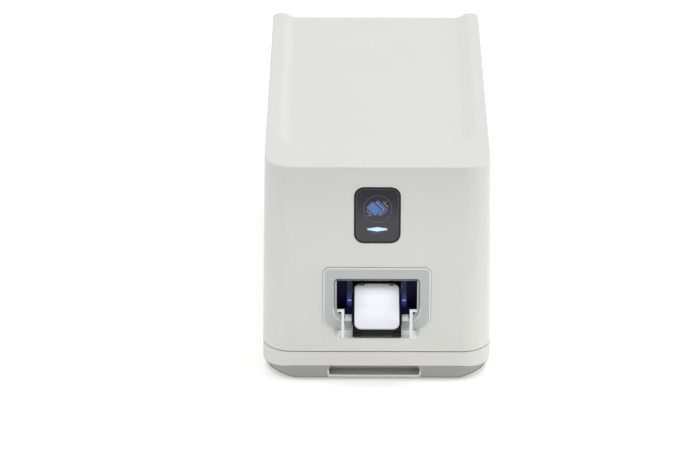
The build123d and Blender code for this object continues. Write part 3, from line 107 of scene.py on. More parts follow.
def maths(tree, operation, first, second=None):
    """The result of a math node, whose second value may be a number."""
    node = tree.nodes.new("ShaderNodeMath")
    node.operation = operation
    tree.links.new(first, node.inputs[0])
    if isinstance(second, float):
        node.inputs[1].default_value = second
    elif second is not None:
        tree.links.new(second, node.inputs[1])
    return node.outputs["Value"]


class Surface:
    """One node material, built up from a Principled shader."""

    def __init__(self, name, roughness=0.5, metallic=0.0):
        self.material = bpy.data.materials.new(name)
        self.material.use_nodes = True
        self.tree = self.material.node_tree
        self.shader = self.tree.nodes["Principled BSDF"]
        self.place = self.tree.nodes.new("ShaderNodeTexCoord").outputs["Object"]
        self.set("Roughness", roughness)
        self.set("Metallic", metallic)

    def set(self, socket, value):
        self.shader.inputs[socket].default_value = value

    def link(self, output, socket):
        self.tree.links.new(output, socket)

    def noise(self, scale, detail=NOISE_DETAIL, stretch=EVEN):
        mapping = self.tree.nodes.new("ShaderNodeMapping")
        mapping.inputs["Scale"].default_value = stretch
        self.link(self.place, mapping.inputs["Vector"])
        noise = self.tree.nodes.new("ShaderNodeTexNoise")
        noise.inputs["Scale"].default_value = scale
        noise.inputs["Detail"].default_value = detail
        self.link(mapping.outputs["Vector"], noise.inputs["Vector"])
        return noise.outputs["Fac"]

    def ramp(self, factor, *stops):
        ramp = self.tree.nodes.new("ShaderNodeValToRGB")
        elements = ramp.color_ramp.elements
        while len(elements) < len(stops):
            elements.new(0.5)
        for element, (position, colour) in zip(elements, stops):
            element.position = position
            element.color = (*colour, 1)
        self.link(factor, ramp.inputs["Fac"])
        return ramp.outputs["Color"]

    def range(self, factor, low, high, new_low, new_high):
        node = self.tree.nodes.new("ShaderNodeMapRange")
        node.inputs["From Min"].default_value = low
        node.inputs["From Max"].default_value = high
        node.inputs["To Min"].default_value = new_low
        node.inputs["To Max"].default_value = new_high
        self.link(factor, node.inputs["Value"])
        return node.outputs["Result"]

    def product(self, first, second):
        return maths(self.tree, "MULTIPLY", first, second)

    def hill(self, value, foot, top, top_end, foot_end):
        """0 up to foot, 1 from top to top_end, and 0 again from foot_end."""
        return self.product(
            self.range(value, foot, top, 0.0, 1.0),
            self.range(value, top_end, foot_end, 1.0, 0.0),
        )

    def axes(self):
        """The three coordinates of a point, by their letters."""
        split = self.tree.nodes.new("ShaderNodeSeparateXYZ")
        self.link(self.place, split.inputs["Vector"])
        return split.outputs

    def vector_step(self, operation, vector, operand=None, output="Vector"):
        node = self.tree.nodes.new("ShaderNodeVectorMath")
        node.operation = operation
        self.link(vector, node.inputs[0])
        if operand is not None:
            node.inputs[1].default_value = operand
        return node.outputs[output]

    def patch(self, colour, spans):
        """Another base colour within spans along the axes, in metres."""
        share = None
        for axis, (low, high) in spans.items():
            place = self.axes()[axis]
            inside = self.hill(place, low - PATCH_SOFT, low, high, high + PATCH_SOFT)
            share = inside if share is None else self.product(share, inside)
        base_colour = self.shader.inputs["Base Color"]
        mix = self.tree.nodes.new("ShaderNodeMixRGB")
        self.link(share, mix.inputs["Fac"])
        self.link(base_colour.links[0].from_socket, mix.inputs["Color1"])
        mix.inputs["Color2"].default_value = (*linear(colour), 1)
        self.link(mix.outputs["Color"], base_colour)

    def mottle(self, colour, spread, scale):
        """Base colour that drifts a little lighter and darker."""
        low = [c * (1 - spread) for c in colour]
        high = [c * (1 + spread) for c in colour]
        drift = self.noise(scale, MOTTLE_DETAIL)
        output = self.ramp(drift, (MOTTLE_BAND[0], low), (MOTTLE_BAND[1], high))
        self.link(output, self.shader.inputs["Base Color"])

    def gloss(self, centre, spread, scale, stretch=EVEN):
        """Roughness that drifts round its mean."""
        drift = self.noise(scale, stretch=stretch)
        output = self.range(drift, *NOISE_BAND, centre - spread, centre + spread)
        self.link(output, self.shader.inputs["Roughness"])

    def grain(self, scale, depth, stretch=EVEN, edge=0.0):
        """Fine relief in millimetres, over edges softened by a small radius."""
        bump = self.tree.nodes.new("ShaderNodeBump")
        bump.inputs["Strength"].default_value = 1.0
        bump.inputs["Distance"].default_value = depth * MM
        self.link(self.noise(scale, stretch=stretch), bump.inputs["Height"])
        if edge:
            bevel = self.tree.nodes.new("ShaderNodeBevel")
            bevel.samples = BEVEL_SAMPLES
            bevel.inputs["Radius"].default_value = edge * MM
            self.link(bevel.outputs["Normal"], bump.inputs["Normal"])
        self.link(bump.outputs["Normal"], self.shader.inputs["Normal"])

    def glow(self, colour, strength):
        """Light of the surface's own, from a colour output."""
        self.link(colour, self.shader.inputs["Emission Color"])
        self.set("Emission Strength", strength)


PLASTIC_GLOSS_SCALE = 60
METAL_SPREAD, METAL_SCALE = 0.04, 90
METAL_GLOSS, METAL_GLOSS_SCALE = 0.07, 700
METAL_GRAIN, METAL_EDGE = 1500, 0.2


def plastic(
    name, colour, roughness, grain=2600, depth=0.006, spread=0.02, scale=14, edge=0.25,
    specular=0.5, gloss=0.04,
):
    """Moulded or coated plastic in a colour of 0 to 255."""
    surface = Surface(name, roughness)
    surface.set("Specular IOR Level", specular)
    surface.mottle(linear(colour), spread, scale)
    surface.gloss(roughness, gloss, PLASTIC_GLOSS_SCALE)
    surface.grain(grain, depth, edge=edge)
    return surface


def metal(name, colour, roughness, stretch=ALONG_Z, depth=0.004):
    """Bare metal, brushed along the stretched axis."""
    surface = Surface(name, roughness, 1.0)
    surface.mottle(linear(colour), METAL_SPREAD, METAL_SCALE)
    surface.gloss(roughness, METAL_GLOSS, METAL_GLOSS_SCALE, stretch)
    surface.grain(METAL_GRAIN, depth, stretch, METAL_EDGE)
    return surface


# Areas painted another colour for light and shade, in metres: the grip recess lighter, a highlight
# on the sill's front and the lip's edge darker
GRIP_RECESS_LIGHTENED = {"X": (-0.033, 0.030), "Y": (-0.1278, -0.1), "Z": (0.0035, 0.0135)}
SILL_FRONT_HIGHLIGHT = {"X": (-0.022, 0.022), "Z": (0.0474, 0.0487)}
LIP_EDGE_SHADE = {"Y": (-0.15, -0.1417), "Z": (0.037, 0.0402)}

housing = plastic(
    "housing_satin_white", (228, 228, 223), 0.30, depth=0.0012, spread=0.006, scale=9, gloss=0.012,
)
base = plastic(
    "base_satin_white", (229, 227, 222), 0.42, depth=0.0016, spread=0.008, scale=11, gloss=0.012,
)
pan = plastic("pan_matt_grey", (165, 168, 167), 0.6, grain=1800, depth=0.008)
# Painted light: inside the grip recess the pan is painted lighter, over its shade
pan.patch((190, 192, 191), GRIP_RECESS_LIGHTENED)
bezel = plastic("bezel_soft_grey", (198, 201, 199), 0.5, grain=2200, spread=0.012)
# Painted highlight on the sill's front, where it catches the light
bezel.patch((246, 248, 250), SILL_FRONT_HIGHLIGHT)
# Painted highlight: white for the bezel's bead, a real rounded lip painted whiter than the
# housing, and for the lit edges at the sill's ends and round the grip
highlight_white = plastic(
    "painted_highlight_white", (242, 242, 239), 0.3, depth=0.001, spread=0.008, gloss=0.012,
)
# Painted shade: dark strips for the shadow in the bezel's gap and in the mouth's step
painted_shade_grey = plastic("shadow_gap", (132, 134, 134), 0.7, depth=0.004, spread=0.05)
# Painted shade: a dark grey strip along the mouth's top, where shade falls
top_shade_grey = plastic(
    "mouth_top_shade_grey", (112, 114, 116), 0.7, grain=1500, depth=0.02, spread=0.05,
)
throat = plastic("throat_navy", (10, 12, 58), 0.5, spread=0.08, specular=0.2)
black = plastic("inner_black", (34, 34, 38), 0.55, spread=0.06)
holder = plastic("holder_charcoal", (22, 22, 23), 0.6, spread=0.06, specular=0.12)
motor = plastic("motor_black", (30, 30, 31), 0.38, spread=0.08)
socket = plastic("connector_black", (28, 28, 30), 0.45, spread=0.06)
rubber = plastic("foot_rubber", (44, 44, 43), 0.85, grain=1400, depth=0.03, spread=0.06)
rim = plastic("display_rim", (20, 21, 22), 0.3, depth=0.003, spread=0.04, specular=0.2)
steel = metal("steel_ground", (205, 206, 208), 0.28)
clip_steel = metal("clip_spring_steel", (92, 93, 98), 0.5)
aluminium = metal("aluminium_machined", (214, 215, 217), 0.36)
bronze = metal("bronze_sintered", (196, 158, 96), 0.42, EVEN, 0.01)
plated = metal("connector_plated", (200, 201, 205), 0.3)
mirror = metal("mirror_silver", (238, 240, 242), 0.04, EVEN, 0.0005)
coated = plastic("frame_coating", (88, 91, 96), 0.6, grain=1600, depth=0.02, spread=0.05)
panel = plastic("rear_panel_coating", (176, 178, 178), 0.58, grain=1500, depth=0.02, spread=0.03)


def make_plate():
    """The plate's smooth pale face, painted a touch lighter and lilac towards its far end for the
    shade it lies in inside the mouth.
    """
    near, far = -0.113, -0.106
    surface = Surface("plate_pearl", 0.52)
    surface.set("Specular IOR Level", 0.3)
    # Painted shade tint: the far end, in the mouth's shade, gets a lighter lilac tone
    shade_tint = surface.range(surface.axes()["Y"], near, far, 0.0, 1.0)
    colour = surface.ramp(
        shade_tint, (0.0, linear((238, 241, 247))), (1.0, linear((242, 240, 248))),
    )
    surface.link(colour, surface.shader.inputs["Base Color"])
    surface.grain(3000, 0.002, edge=0.15)
    return surface


def make_guide():
    """Deep blue moulding with a painted highlight that glows faintly round the height of its glint
    bead.
    """
    sheen_foot, sheen_mid, sheen_top = 0.049, 0.0556, 0.0625
    surface = Surface("guide_blue", 0.3)
    surface.mottle(linear((9, 11, 46)), 0.06, 14)
    surface.set("Specular IOR Level", 0.25)
    share = surface.hill(surface.axes()["Z"], sheen_foot, sheen_mid, sheen_mid, sheen_top)
    # Painted highlight: the guide glows round this height though it is no lamp
    surface.glow(
        surface.ramp(share, (0.0, (0.0, 0.0, 0.004)), (1.0, (0.024, 0.04, 0.21))), 1.0,
    )
    surface.grain(2000, 0.004, edge=0.2)
    return surface


def make_clear(name, colour, roughness, transmission):
    """Clear moulded plastic with a slight haze."""
    surface = Surface(name, roughness)
    surface.mottle(linear(colour), 0.01, 40)
    surface.set("Transmission Weight", transmission)
    surface.set("IOR", 1.46)
    surface.grain(900, 0.004, edge=0.2)
    return surface


def make_screen():
    """Black glass over the display, lit blue round the light bar."""
    glow_height, glow_wide, glow_tall, glow_reach = 113.5, 0.0036, 0.0015, 1.6
    surface = Surface("display_glass", 0.16)
    surface.set("Specular IOR Level", 0.27)
    surface.mottle(linear((25, 25, 36)), 0.05, 50)
    offset = surface.vector_step("SUBTRACT", surface.place, on_front(0, glow_height, 0))
    squeezed = surface.vector_step("MULTIPLY", offset, (1 / glow_wide, 0, 1 / glow_tall))
    reach = surface.vector_step("LENGTH", squeezed, output="Value")
    glow = surface.ramp(
        surface.range(reach, 0.0, glow_reach, 0.0, 1.0),
        (0.0, (0.04, 0.16, 0.62)),
        (0.45, (0.008, 0.035, 0.13)),
        (1.0, (0.0, 0.0, 0.0)),
    )
    surface.glow(glow, 0.8)
    surface.grain(900, 0.0015)
    return surface


def make_light_bar():
    """The light bar, whitest at its middle."""
    middle, end, half_width = (0.58, 0.8, 0.95), (0.32, 0.54, 0.68), 0.0068
    surface = Surface("status_light", 0.35)
    away = maths(surface.tree, "ABSOLUTE", surface.axes()["X"])
    share = surface.range(away, 0.0, half_width, 0.0, 1.0)
    tint = surface.ramp(share, (0.0, middle), (0.55, middle), (1.0, end))
    surface.link(tint, surface.shader.inputs["Base Color"])
    surface.glow(tint, 0.33)
    surface.grain(1500, 0.002)
    return surface


def make_board():
    """Green solder mask with fine paler tracks."""
    surface = Surface("circuit_board", 0.45)
    brick = surface.tree.nodes.new("ShaderNodeTexBrick")
    brick.inputs["Scale"].default_value = 240.0
    brick.inputs["Mortar Size"].default_value = 0.035
    for part, colour in (
        ("Color1", (24, 96, 60)), ("Color2", (20, 84, 54)), ("Mortar", (44, 128, 84)),
    ):
        brick.inputs[part].default_value = (*linear(colour), 1)
    surface.link(surface.place, brick.inputs["Vector"])
    surface.link(brick.outputs["Color"], surface.shader.inputs["Base Color"])
    surface.grain(1200, 0.01, edge=0.15)
    return surface


def make_ink(name, colour, strength):
    """A softly lit line of the display; the guides' painted glints use it too."""
    lit = linear(colour)
    dim = [c * 0.85 for c in lit]
    surface = Surface(name, 0.4)
    shade = surface.ramp(surface.noise(420), (NOISE_BAND[0], dim), (NOISE_BAND[1], lit))
    surface.link(shade, surface.shader.inputs["Base Color"])
    surface.glow(shade, strength)
    return surface


plate = make_plate()
guide = make_guide()
clear_lip = make_clear("lip_clear", (250, 251, 252), 0.22, 0.05)
# Painted shade: the lip's front edge is painted darker to tone down its lit edge
clear_lip.patch((226, 227, 225), LIP_EDGE_SHADE)
lens = make_clear("lens_glass", (238, 245, 247), 0.03, 0.95)
screen = make_screen()
light_bar = make_light_bar()
board = make_board()
line_grey = make_ink("display_line", (90, 91, 98), 0.2)
line_blue = make_ink("display_blue", (64, 110, 168), 0.28)
line_blue_edge = make_ink("display_blue_edge", (66, 92, 152), 0.25)
line_blue_dark = make_ink("display_blue_dark", (50, 60, 116), 0.25)
line_pale = make_ink("display_pale", (104, 122, 180), 0.35)
line_white = make_ink("display_white", (132, 134, 156), 0.3)
line_dark = make_ink("display_dark", (28, 34, 70), 0.1)
# Painted highlight: glints for the guides, glowing though they are no lamp
painted_glint_blue = make_ink("painted_glint_blue", (150, 164, 220), 0.45)

FINISH = {
    housing: ["upper_housing"],
    base: ["base_shell"],
    pan: ["base_pan"],
    bezel: ["slot_bezel"],
    throat: ["mouth_throat", "sill_ramp"],
    black: [
        "light_gate", "display_bracket", "display_module", "ramp_cover", "tube_pedestal",
        "mirror_holder",
    ],
    holder: ["plate_holder"],
    guide: ["gate_guides"],
    motor: ["drive_motor", "photomultiplier", "fan_frame", "fan_rotor"],
    socket: ["power_inlet", "switch_frame", "switch_rocker"],
    rubber: ["rubber_feet"],
    rim: ["display_frame"],
    steel: [
        "base_screws", "flap_pin", "guide_rods", "lead_screw", "motor_shaft", "polygon_motor",
        "rear_screws",
    ],
    clip_steel: ["plate_clips"],
    aluminium: [
        "carriage", "front_block", "rear_block", "motor_plate", "shaft_coupler", "laser_clamp",
    ],
    bronze: ["carriage_bushings", "lead_nut", "screw_bearings", "laser_module", "board_spacers"],
    plated: ["network_port"],
    mirror: ["fold_mirror", "polygon_mirror"],
    coated: ["left_side_frame", "right_side_frame", "optics_bench"],
    panel: ["rear_panel"],
    plate: ["phosphor_plate"],
    clear_lip: ["mouth_flap"],
    lens: ["scan_lens", "light_collector"],
    screen: ["display_window"],
    light_bar: ["status_light"],
    board: ["main_board", "power_board", "erase_lamp"],
}
for surface, names in FINISH.items():
    for name in names:
        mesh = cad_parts[name].data
        mesh.materials.clear()
        mesh.materials.append(surface.material)


# Tools for the pieces: lines are given in millimetres on a face
def piece(name, vertices, faces, surface, body, smooth=False):
    """A mesh piece that rides on a body."""
    mesh = bpy.data.meshes.new(name)
    mesh.from_pydata([tuple(v) for v in vertices], [], faces)
    build = bmesh.new()
    build.from_mesh(mesh)
    bmesh.ops.recalc_face_normals(build, faces=build.faces)
    build.to_mesh(mesh)
    build.free()
    for polygon in mesh.polygons:
        polygon.use_smooth = smooth
    mesh.materials.append(surface.material)
    thing = bpy.data.objects.new(name, mesh)
    scene.collection.objects.link(thing)
    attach(thing, body)
    return thing


def moulding(name, paths, section, place, surface, body, smooth=False):
    """A line of one cross-section along paths, each a list of points and whether it closes.

    The section's points are steps sideways and outward from the path.
    """
    vertices, faces = [], []
    ring = len(section)
    for path, closed in paths:
        count = len(path)
        start = len(vertices)
        for i, (x, v) in enumerate(path):
            before = path[(i - 1) % count] if closed or i else path[i]
            after = path[(i + 1) % count] if closed or i < count - 1 else path[i]
            along = Vector((after[0] - before[0], after[1] - before[1])).normalized()
            for side, out in section:
                vertices.append(place(x - along.y * side, v + along.x * side, out))
        steps = count if closed else count - 1
        for i in range(steps):
            a = start + ring * i
            b = start + ring * ((i + 1) % count)
            for p in range(ring):
                q = (p + 1) % ring
                faces.append((a + p, a + q, b + q, b + p))
        if not closed:
            end = start + ring * (count - 1)
            faces.append(tuple(range(start, start + ring)))
            faces.append(tuple(reversed(range(end, end + ring))))
    piece(name, vertices, faces, surface, body, smooth)


def flat(width, low, high):
    """The cross-section of a flat line between two heights over its face."""
    return [(-width / 2, low), (-width / 2, high), (width / 2, high), (width / 2, low)]


def half_round(width, low, high, steps=8, shoulder=0.35):
    """The cross-section of a line with a rounded top over straight shoulders."""
    section = [(-width / 2, low)]
    for i in range(steps + 1):
        turn = pi * (1 - i / steps)
        rise = shoulder + (1 - shoulder) * sin(turn)
        section.append((width / 2 * cos(turn), low + (high - low) * rise))
    return section + [(width / 2, low)]


def strip(name, paths, width, low, high, place, surface, body):
    """Flat raised lines along closed or open paths drawn on a face."""
    moulding(name, paths, flat(width, low, high), place, surface, body)


def arc(x, v, radius, start, end, steps):
    """Points on an arc round a centre."""
    turns = [start + (end - start) * i / steps for i in range(steps + 1)]
    return [(x + radius * cos(turn), v + radius * sin(turn)) for turn in turns]


def round_box(x, v, width, height, high_radius, low_radius, steps):
    """A closed rectangle with its own upper and lower corner radii."""
    path = []
    for corner, (sx, sv) in enumerate(((1, 1), (-1, 1), (-1, -1), (1, -1))):
        radius = high_radius if sv > 0 else low_radius
        path += arc(
            x + sx * (width / 2 - radius), v + sv * (height / 2 - radius),
            radius, corner * pi / 2, (corner + 1) * pi / 2, steps,
        )
    return path


def turned(path, x, v, angle):
    """A path turned about its own origin and set down at a point."""
    return [
        (x + a * cos(angle) - b * sin(angle), v + a * sin(angle) + b * cos(angle))
        for a, b in path
    ]


# Display graphics: a ring, two plates with corner ticks and a thin border
INK_LOW, INK_HIGH = 0.005, 0.04
BOX_STEPS = 8
RING_X, RING_V, RING_R = 0.2, 129.5, 9.4
RING_TALL = 1.045
RING_LINE, RING_STEPS = 0.26, 96
BORDER_V, BORDER_WIDE, BORDER_HIGH, BORDER_ROUND = 124.9, 27.6, 37.6, 4.9
BORDER_LINE = 0.34


def draw(name, paths, width, high, surface):
    """Lines on the display's glass."""
    strip(name, paths, width, INK_LOW, high, on_front, surface, "housing")


ring = [
    (x, RING_V + (v - RING_V) * RING_TALL)
    for x, v in arc(RING_X, RING_V, RING_R, 0, 2 * pi, RING_STEPS)[:-1]
]
draw("display_ring", [(ring, True)], width=RING_LINE, high=INK_HIGH, surface=line_grey)
border = round_box(
    0, BORDER_V, BORDER_WIDE, BORDER_HIGH, BORDER_ROUND, BORDER_ROUND, BOX_STEPS,
)
draw("display_border", [(border, True)], width=BORDER_LINE, high=INK_HIGH, surface=line_grey)

CARD_TILT, CARD_ROUND = radians(-45), 0.7
CARD_EDGE_RISE = 0.015


def card(name, x, v, size, out, fill, edge, line):
    """A filled card with an outline of its own."""
    outline = round_box(0, 0, *size, CARD_ROUND, CARD_ROUND, BOX_STEPS)
    outline = turned(outline, x, v, CARD_TILT)
    vertices = [on_front(a, b, out) for a, b in outline]
    vertices += [on_front(a, b, INK_LOW) for a, b in outline]
    count = len(outline)
    faces = [tuple(range(count)), tuple(reversed(range(count, 2 * count)))]
    faces += [
        (i, (i + 1) % count, count + (i + 1) % count, count + i) for i in range(count)
    ]
    piece(name + "_face", vertices, faces, fill, "housing")
    draw(name + "_edge", [(outline, True)], width=line, high=out + CARD_EDGE_RISE, surface=edge)


def near_ring(*points):
    """An open path given from the ring's middle height."""
    return [(x, RING_V + rise) for x, rise in points], False


card(
    "display_plate_back", x=1.3, v=RING_V + 0.5, size=(9.4, 6.6), out=0.03,
    fill=line_blue_dark, edge=line_blue_edge, line=0.5,
)
halo = near_ring((-0.6, 5.0), (4.4, 0.0), (1.2, -4.1))
draw("display_halo", [halo], width=0.95, high=0.055, surface=line_pale)
gap_line = near_ring((-2.6, 5.5), (3.2, -0.3), (-0.6, -4.8))
draw("display_gap", [gap_line], width=0.8, high=0.06, surface=line_dark)
card(
    "display_plate_front", x=-2.3, v=RING_V + 0.1, size=(8.0, 5.6), out=0.065,
    fill=line_blue, edge=line_blue_edge, line=0.7,
)
upper_tick = near_ring((6.0, 5.3), (3.7, 4.9), (7.2, 1.5))
lower_tick = near_ring((-7.1, -1.1), (-3.9, -4.6), (-6.2, -4.9))
draw("display_ticks", [upper_tick, lower_tick], width=0.5, high=INK_HIGH, surface=line_white)

# Flare at the middle of the light bar: a pointed outline that swells to its middle
FLARE_V, FLARE_HALF = 114.8, 6.6
FLARE_RISE, FLARE_END, FLARE_CURVE = 1.5, 0.7, 1.5
FLARE_OUT, FLARE_STEPS = 0.075, 12
top_line = [
    (
        FLARE_HALF * i / FLARE_STEPS,
        FLARE_END + (FLARE_RISE - FLARE_END) * (1 - abs(i) / FLARE_STEPS) ** FLARE_CURVE,
    )
    for i in range(-FLARE_STEPS, FLARE_STEPS + 1)
]
flare = [(x, FLARE_V + rise) for x, rise in top_line]
flare += [(x, FLARE_V - rise) for x, rise in reversed(top_line)]
count = len(flare)
vertices = [on_front(x, v, out) for out in (FLARE_OUT, INK_LOW) for x, v in flare]
faces = [(i, i + 1, count - 2 - i, count - 1 - i) for i in range(2 * FLARE_STEPS)]
faces += [
    (2 * count - 1 - i, 2 * count - 2 - i, count + 1 + i, count + i)
    for i in range(2 * FLARE_STEPS)
]
faces += [(i, (i + 1) % count, count + (i + 1) % count, count + i) for i in range(count)]
piece("status_flare", vertices, faces, light_bar, "housing")

# Mouth: a bead round the bezel painted whiter as a highlight, a painted shadow in its gap, painted
# shade in its step, painted highlights at the sill's ends and painted shade along the top
BEZEL_MID, BEZEL_HIGH, BEZEL_WIDE = 63.5, 46.2, 72.2
BEZEL_ROUND_HIGH, BEZEL_ROUND_LOW = 4.5, 9.0
MOUTH_MID, MOUTH_HIGH, MOUTH_WIDE = 61.2, 30.8, 54.0
CURVE_STEPS = 10
STEP_FLOOR = -2.05


def bezel_path(inset):
    """The bezel's outline, drawn in by an inset."""
    path = round_box(
        0, BEZEL_MID, BEZEL_WIDE - 2 * inset, BEZEL_HIGH - 2 * inset,
        BEZEL_ROUND_HIGH - inset, BEZEL_ROUND_LOW - inset, CURVE_STEPS,
    )
    return path, True


BEAD_INSET, GAP_INSET = 0.7, -0.12
# The bezel's bead: a real lip, painted whiter as its highlight
moulding(
    "bezel_bead", [bezel_path(BEAD_INSET)], half_round(width=1.15, low=0.05, high=1.08),
    on_front, highlight_white, "housing", smooth=True,
)
# Painted shadow in the gap round the bezel
strip(
    "bezel_gap_shadow", [bezel_path(GAP_INSET)], width=0.24, low=-0.05, high=0.03,
    place=on_front, surface=painted_shade_grey, body="housing",
)

STEP_OUT, STEP_ROUND = 1.45, 2.45
STEP_HALF = MOUTH_WIDE / 2 + STEP_OUT
STEP_TOP = MOUTH_MID + MOUTH_HIGH / 2 + STEP_OUT
STEP_SHADE_LOW = 54.0
step_shade_path = [(STEP_HALF, STEP_SHADE_LOW)]
step_shade_path += arc(STEP_HALF - STEP_ROUND, STEP_TOP - STEP_ROUND, STEP_ROUND, 0, pi / 2, CURVE_STEPS)
step_shade_path += arc(STEP_ROUND - STEP_HALF, STEP_TOP - STEP_ROUND, STEP_ROUND, pi / 2, pi, CURVE_STEPS)
step_shade_path += [(-STEP_HALF, STEP_SHADE_LOW)]
# Painted shade in the mouth's step
strip(
    "mouth_step_shade", [(step_shade_path, False)], width=0.5, low=STEP_FLOOR, high=-1.92,
    place=on_front, surface=painted_shade_grey, body="housing",
)

SILL_X, SILL_V, SILL_ROUND = 21.7, 54.2, 7.3
SILL_HIGHLIGHT_TOP, SILL_HIGHLIGHT_TURN = 57.5, radians(67)
left_sill_highlight = [(-SILL_X - SILL_ROUND, SILL_HIGHLIGHT_TOP)]
left_sill_highlight += arc(-SILL_X, SILL_V, SILL_ROUND, pi, pi + SILL_HIGHLIGHT_TURN, CURVE_STEPS)
right_sill_highlight = [(-x, v) for x, v in reversed(left_sill_highlight)]
# Painted highlights at the sill's ends
strip(
    "sill_highlight_rims", [(left_sill_highlight, False), (right_sill_highlight, False)], width=0.6, low=0.8, high=1.03,
    place=on_front, surface=highlight_white, body="housing",
)

TOP_SHADE_HALF, TOP_SHADE_RISE = 28.2, 0.25
TOP_SHADE_V = MOUTH_MID + MOUTH_HIGH / 2 + TOP_SHADE_RISE
top_shade_path = [(TOP_SHADE_HALF, TOP_SHADE_V), (-TOP_SHADE_HALF, TOP_SHADE_V)]
# Painted shade along the top of the mouth
moulding(
    "mouth_top_shade", [(top_shade_path, False)], half_round(width=1.7, low=STEP_FLOOR, high=-1.0),
    on_front, top_shade_grey, "housing", smooth=True,
)


# Guide glints: a small bead on each upright that glows as a painted highlight, though it is no
# lamp
GLINT_X, GLINT_Y, GLINT_Z = 18.4, -116.4, 55.6
GLINT_RADII = (1.5, 0.45, 0.42)
GLINT_RINGS, GLINT_AROUND = 10, 20


def bead(name, centre, radii, surface, body):
    """A smooth ellipsoid bead, its poles along X."""
    rings, around = GLINT_RINGS, GLINT_AROUND
    vertices, faces = [], []
    for i in range(1, rings):
        polar = pi * i / rings
        for j in range(around):
            turn = 2 * pi * j / around
            vertices.append(centre + Vector((
                radii[0] * cos(polar),
                radii[1] * sin(polar) * cos(turn),
                radii[2] * sin(polar) * sin(turn),
            )) * MM)
    pole = len(vertices)
    vertices.append(centre + Vector((radii[0], 0, 0)) * MM)
    vertices.append(centre - Vector((radii[0], 0, 0)) * MM)
    for i in range(rings - 2):
        for j in range(around):
            k = (j + 1) % around
            faces.append((
                i * around + j, i * around + k, (i + 1) * around + k, (i + 1) * around + j,
            ))
    last = (rings - 2) * around
    for j in range(around):
        k = (j + 1) % around
        faces.append((pole, k, j))
        faces.append((pole + 1, last + j, last + k))
    piece(name, vertices, faces, surface, body, smooth=True)


for name, side in (("guide_glint_left", -1), ("guide_glint_right", 1)):
    bead(
        name, Vector((side * GLINT_X, GLINT_Y, GLINT_Z)) * MM, GLINT_RADII, painted_glint_blue,
        "housing",
    )

# Lead screw with its four-start thread, along the plate's path, in millimetres
SCREW_ABOVE = -12.5
SCREW_START, SCREW_END = 40.6, 164.4
THREAD_START, THREAD_END = 44.0, 147.0
CREST, ROOT = 2.98, 2.45
LEAD, STARTS = 12.0, 4
FLANK_SLOPE, ROOT_SHARE = 2.4, 0.7
SCREW_STEP, SCREW_AROUND = 0.5, 36


def thread():
    """The screw as rows of rings, whose radius follows the thread."""
    around = SCREW_AROUND
    rows = int((SCREW_END - SCREW_START) / SCREW_STEP)
    vertices, faces = [], []
    for i in range(rows + 1):
        along = SCREW_START + (SCREW_END - SCREW_START) * i / rows
        plain = along < THREAD_START or along > THREAD_END
        for j in range(around):
            turn = 2 * pi * j / around
            phase = ((along / LEAD - j / around) * STARTS) % 1.0
            rise = min(1.0, max(0.0, FLANK_SLOPE * abs(phase - 0.5) * 2 - ROOT_SHARE))
            radius = CREST if plain else ROOT + (CREST - ROOT) * rise
            vertices.append(
                on_path(radius * cos(turn), along, SCREW_ABOVE + radius * sin(turn))
            )
    for i in range(rows):
        for j in range(around):
            k = (j + 1) % around
            faces.append((
                i * around + j, (i + 1) * around + j, (i + 1) * around + k, i * around + k,
            ))
    faces.append(tuple(range(around)))
    faces.append(tuple(rows * around + j for j in reversed(range(around))))
    return piece("lead_screw_thread", vertices, faces, steel, "screw", smooth=True)


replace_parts(thread(), "lead_screw")

# Painted highlight trim and a step of the front grip, laid on the curved face of the band
BAND_START, BAND_REACH = -0.4, 0.28
BAND_FACE = -0.1285
band_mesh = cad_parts["base_pan"].data
band_tree = BVHTree.FromPolygons(
    [v.co.copy() for v in band_mesh.vertices], [tuple(p.vertices) for p in band_mesh.polygons],
)


def on_band(x, height, out):
    """A point over the band's own face, in metres."""
    start = Vector((x * MM, BAND_START, height * MM))
    hit = band_tree.ray_cast(start, Vector((0, 1, 0)), BAND_REACH)[0]
    depth = hit.y if hit else BAND_FACE
    return Vector((x * MM, depth - out * MM, height * MM))


GRIP_X, GRIP_HALF, GRIP_LOW = -1.6, 31.1, 4.6
GRIP_MID, GRIP_TOP = 9.7, 12.8
GRIP_SLANT, GRIP_CORNER, GRIP_STEPS = 1.6, 0.8, 24
GRIP_SINK, LEDGE_DROP = -0.3, 0.75
left, right = GRIP_X - GRIP_HALF, GRIP_X + GRIP_HALF
low_run = 2 * GRIP_HALF - 2 * GRIP_CORNER
grip_highlight_path = [(left + GRIP_SLANT, GRIP_TOP), (left, GRIP_MID), (left, GRIP_LOW + GRIP_CORNER)]
grip_highlight_path += [
    (left + GRIP_CORNER + i * low_run / GRIP_STEPS, GRIP_LOW) for i in range(GRIP_STEPS + 1)
]
grip_highlight_path += [(right, GRIP_LOW + GRIP_CORNER), (right, GRIP_MID), (right - GRIP_SLANT, GRIP_TOP)]
# Painted highlight along the grip's edges
strip(
    "grip_highlight_trim", [(grip_highlight_path, False)], width=1.0, low=GRIP_SINK, high=0.26,
    place=on_band, surface=highlight_white, body="housing",
)
ledge = [
    (GRIP_X + GRIP_HALF * (2 * i / GRIP_STEPS - 1), GRIP_LOW - LEDGE_DROP)
    for i in range(GRIP_STEPS + 1)
]
strip(
    "grip_sill", [(ledge, False)], width=1.5, low=GRIP_SINK, high=0.24,
    place=on_band, surface=base, body="housing",
)

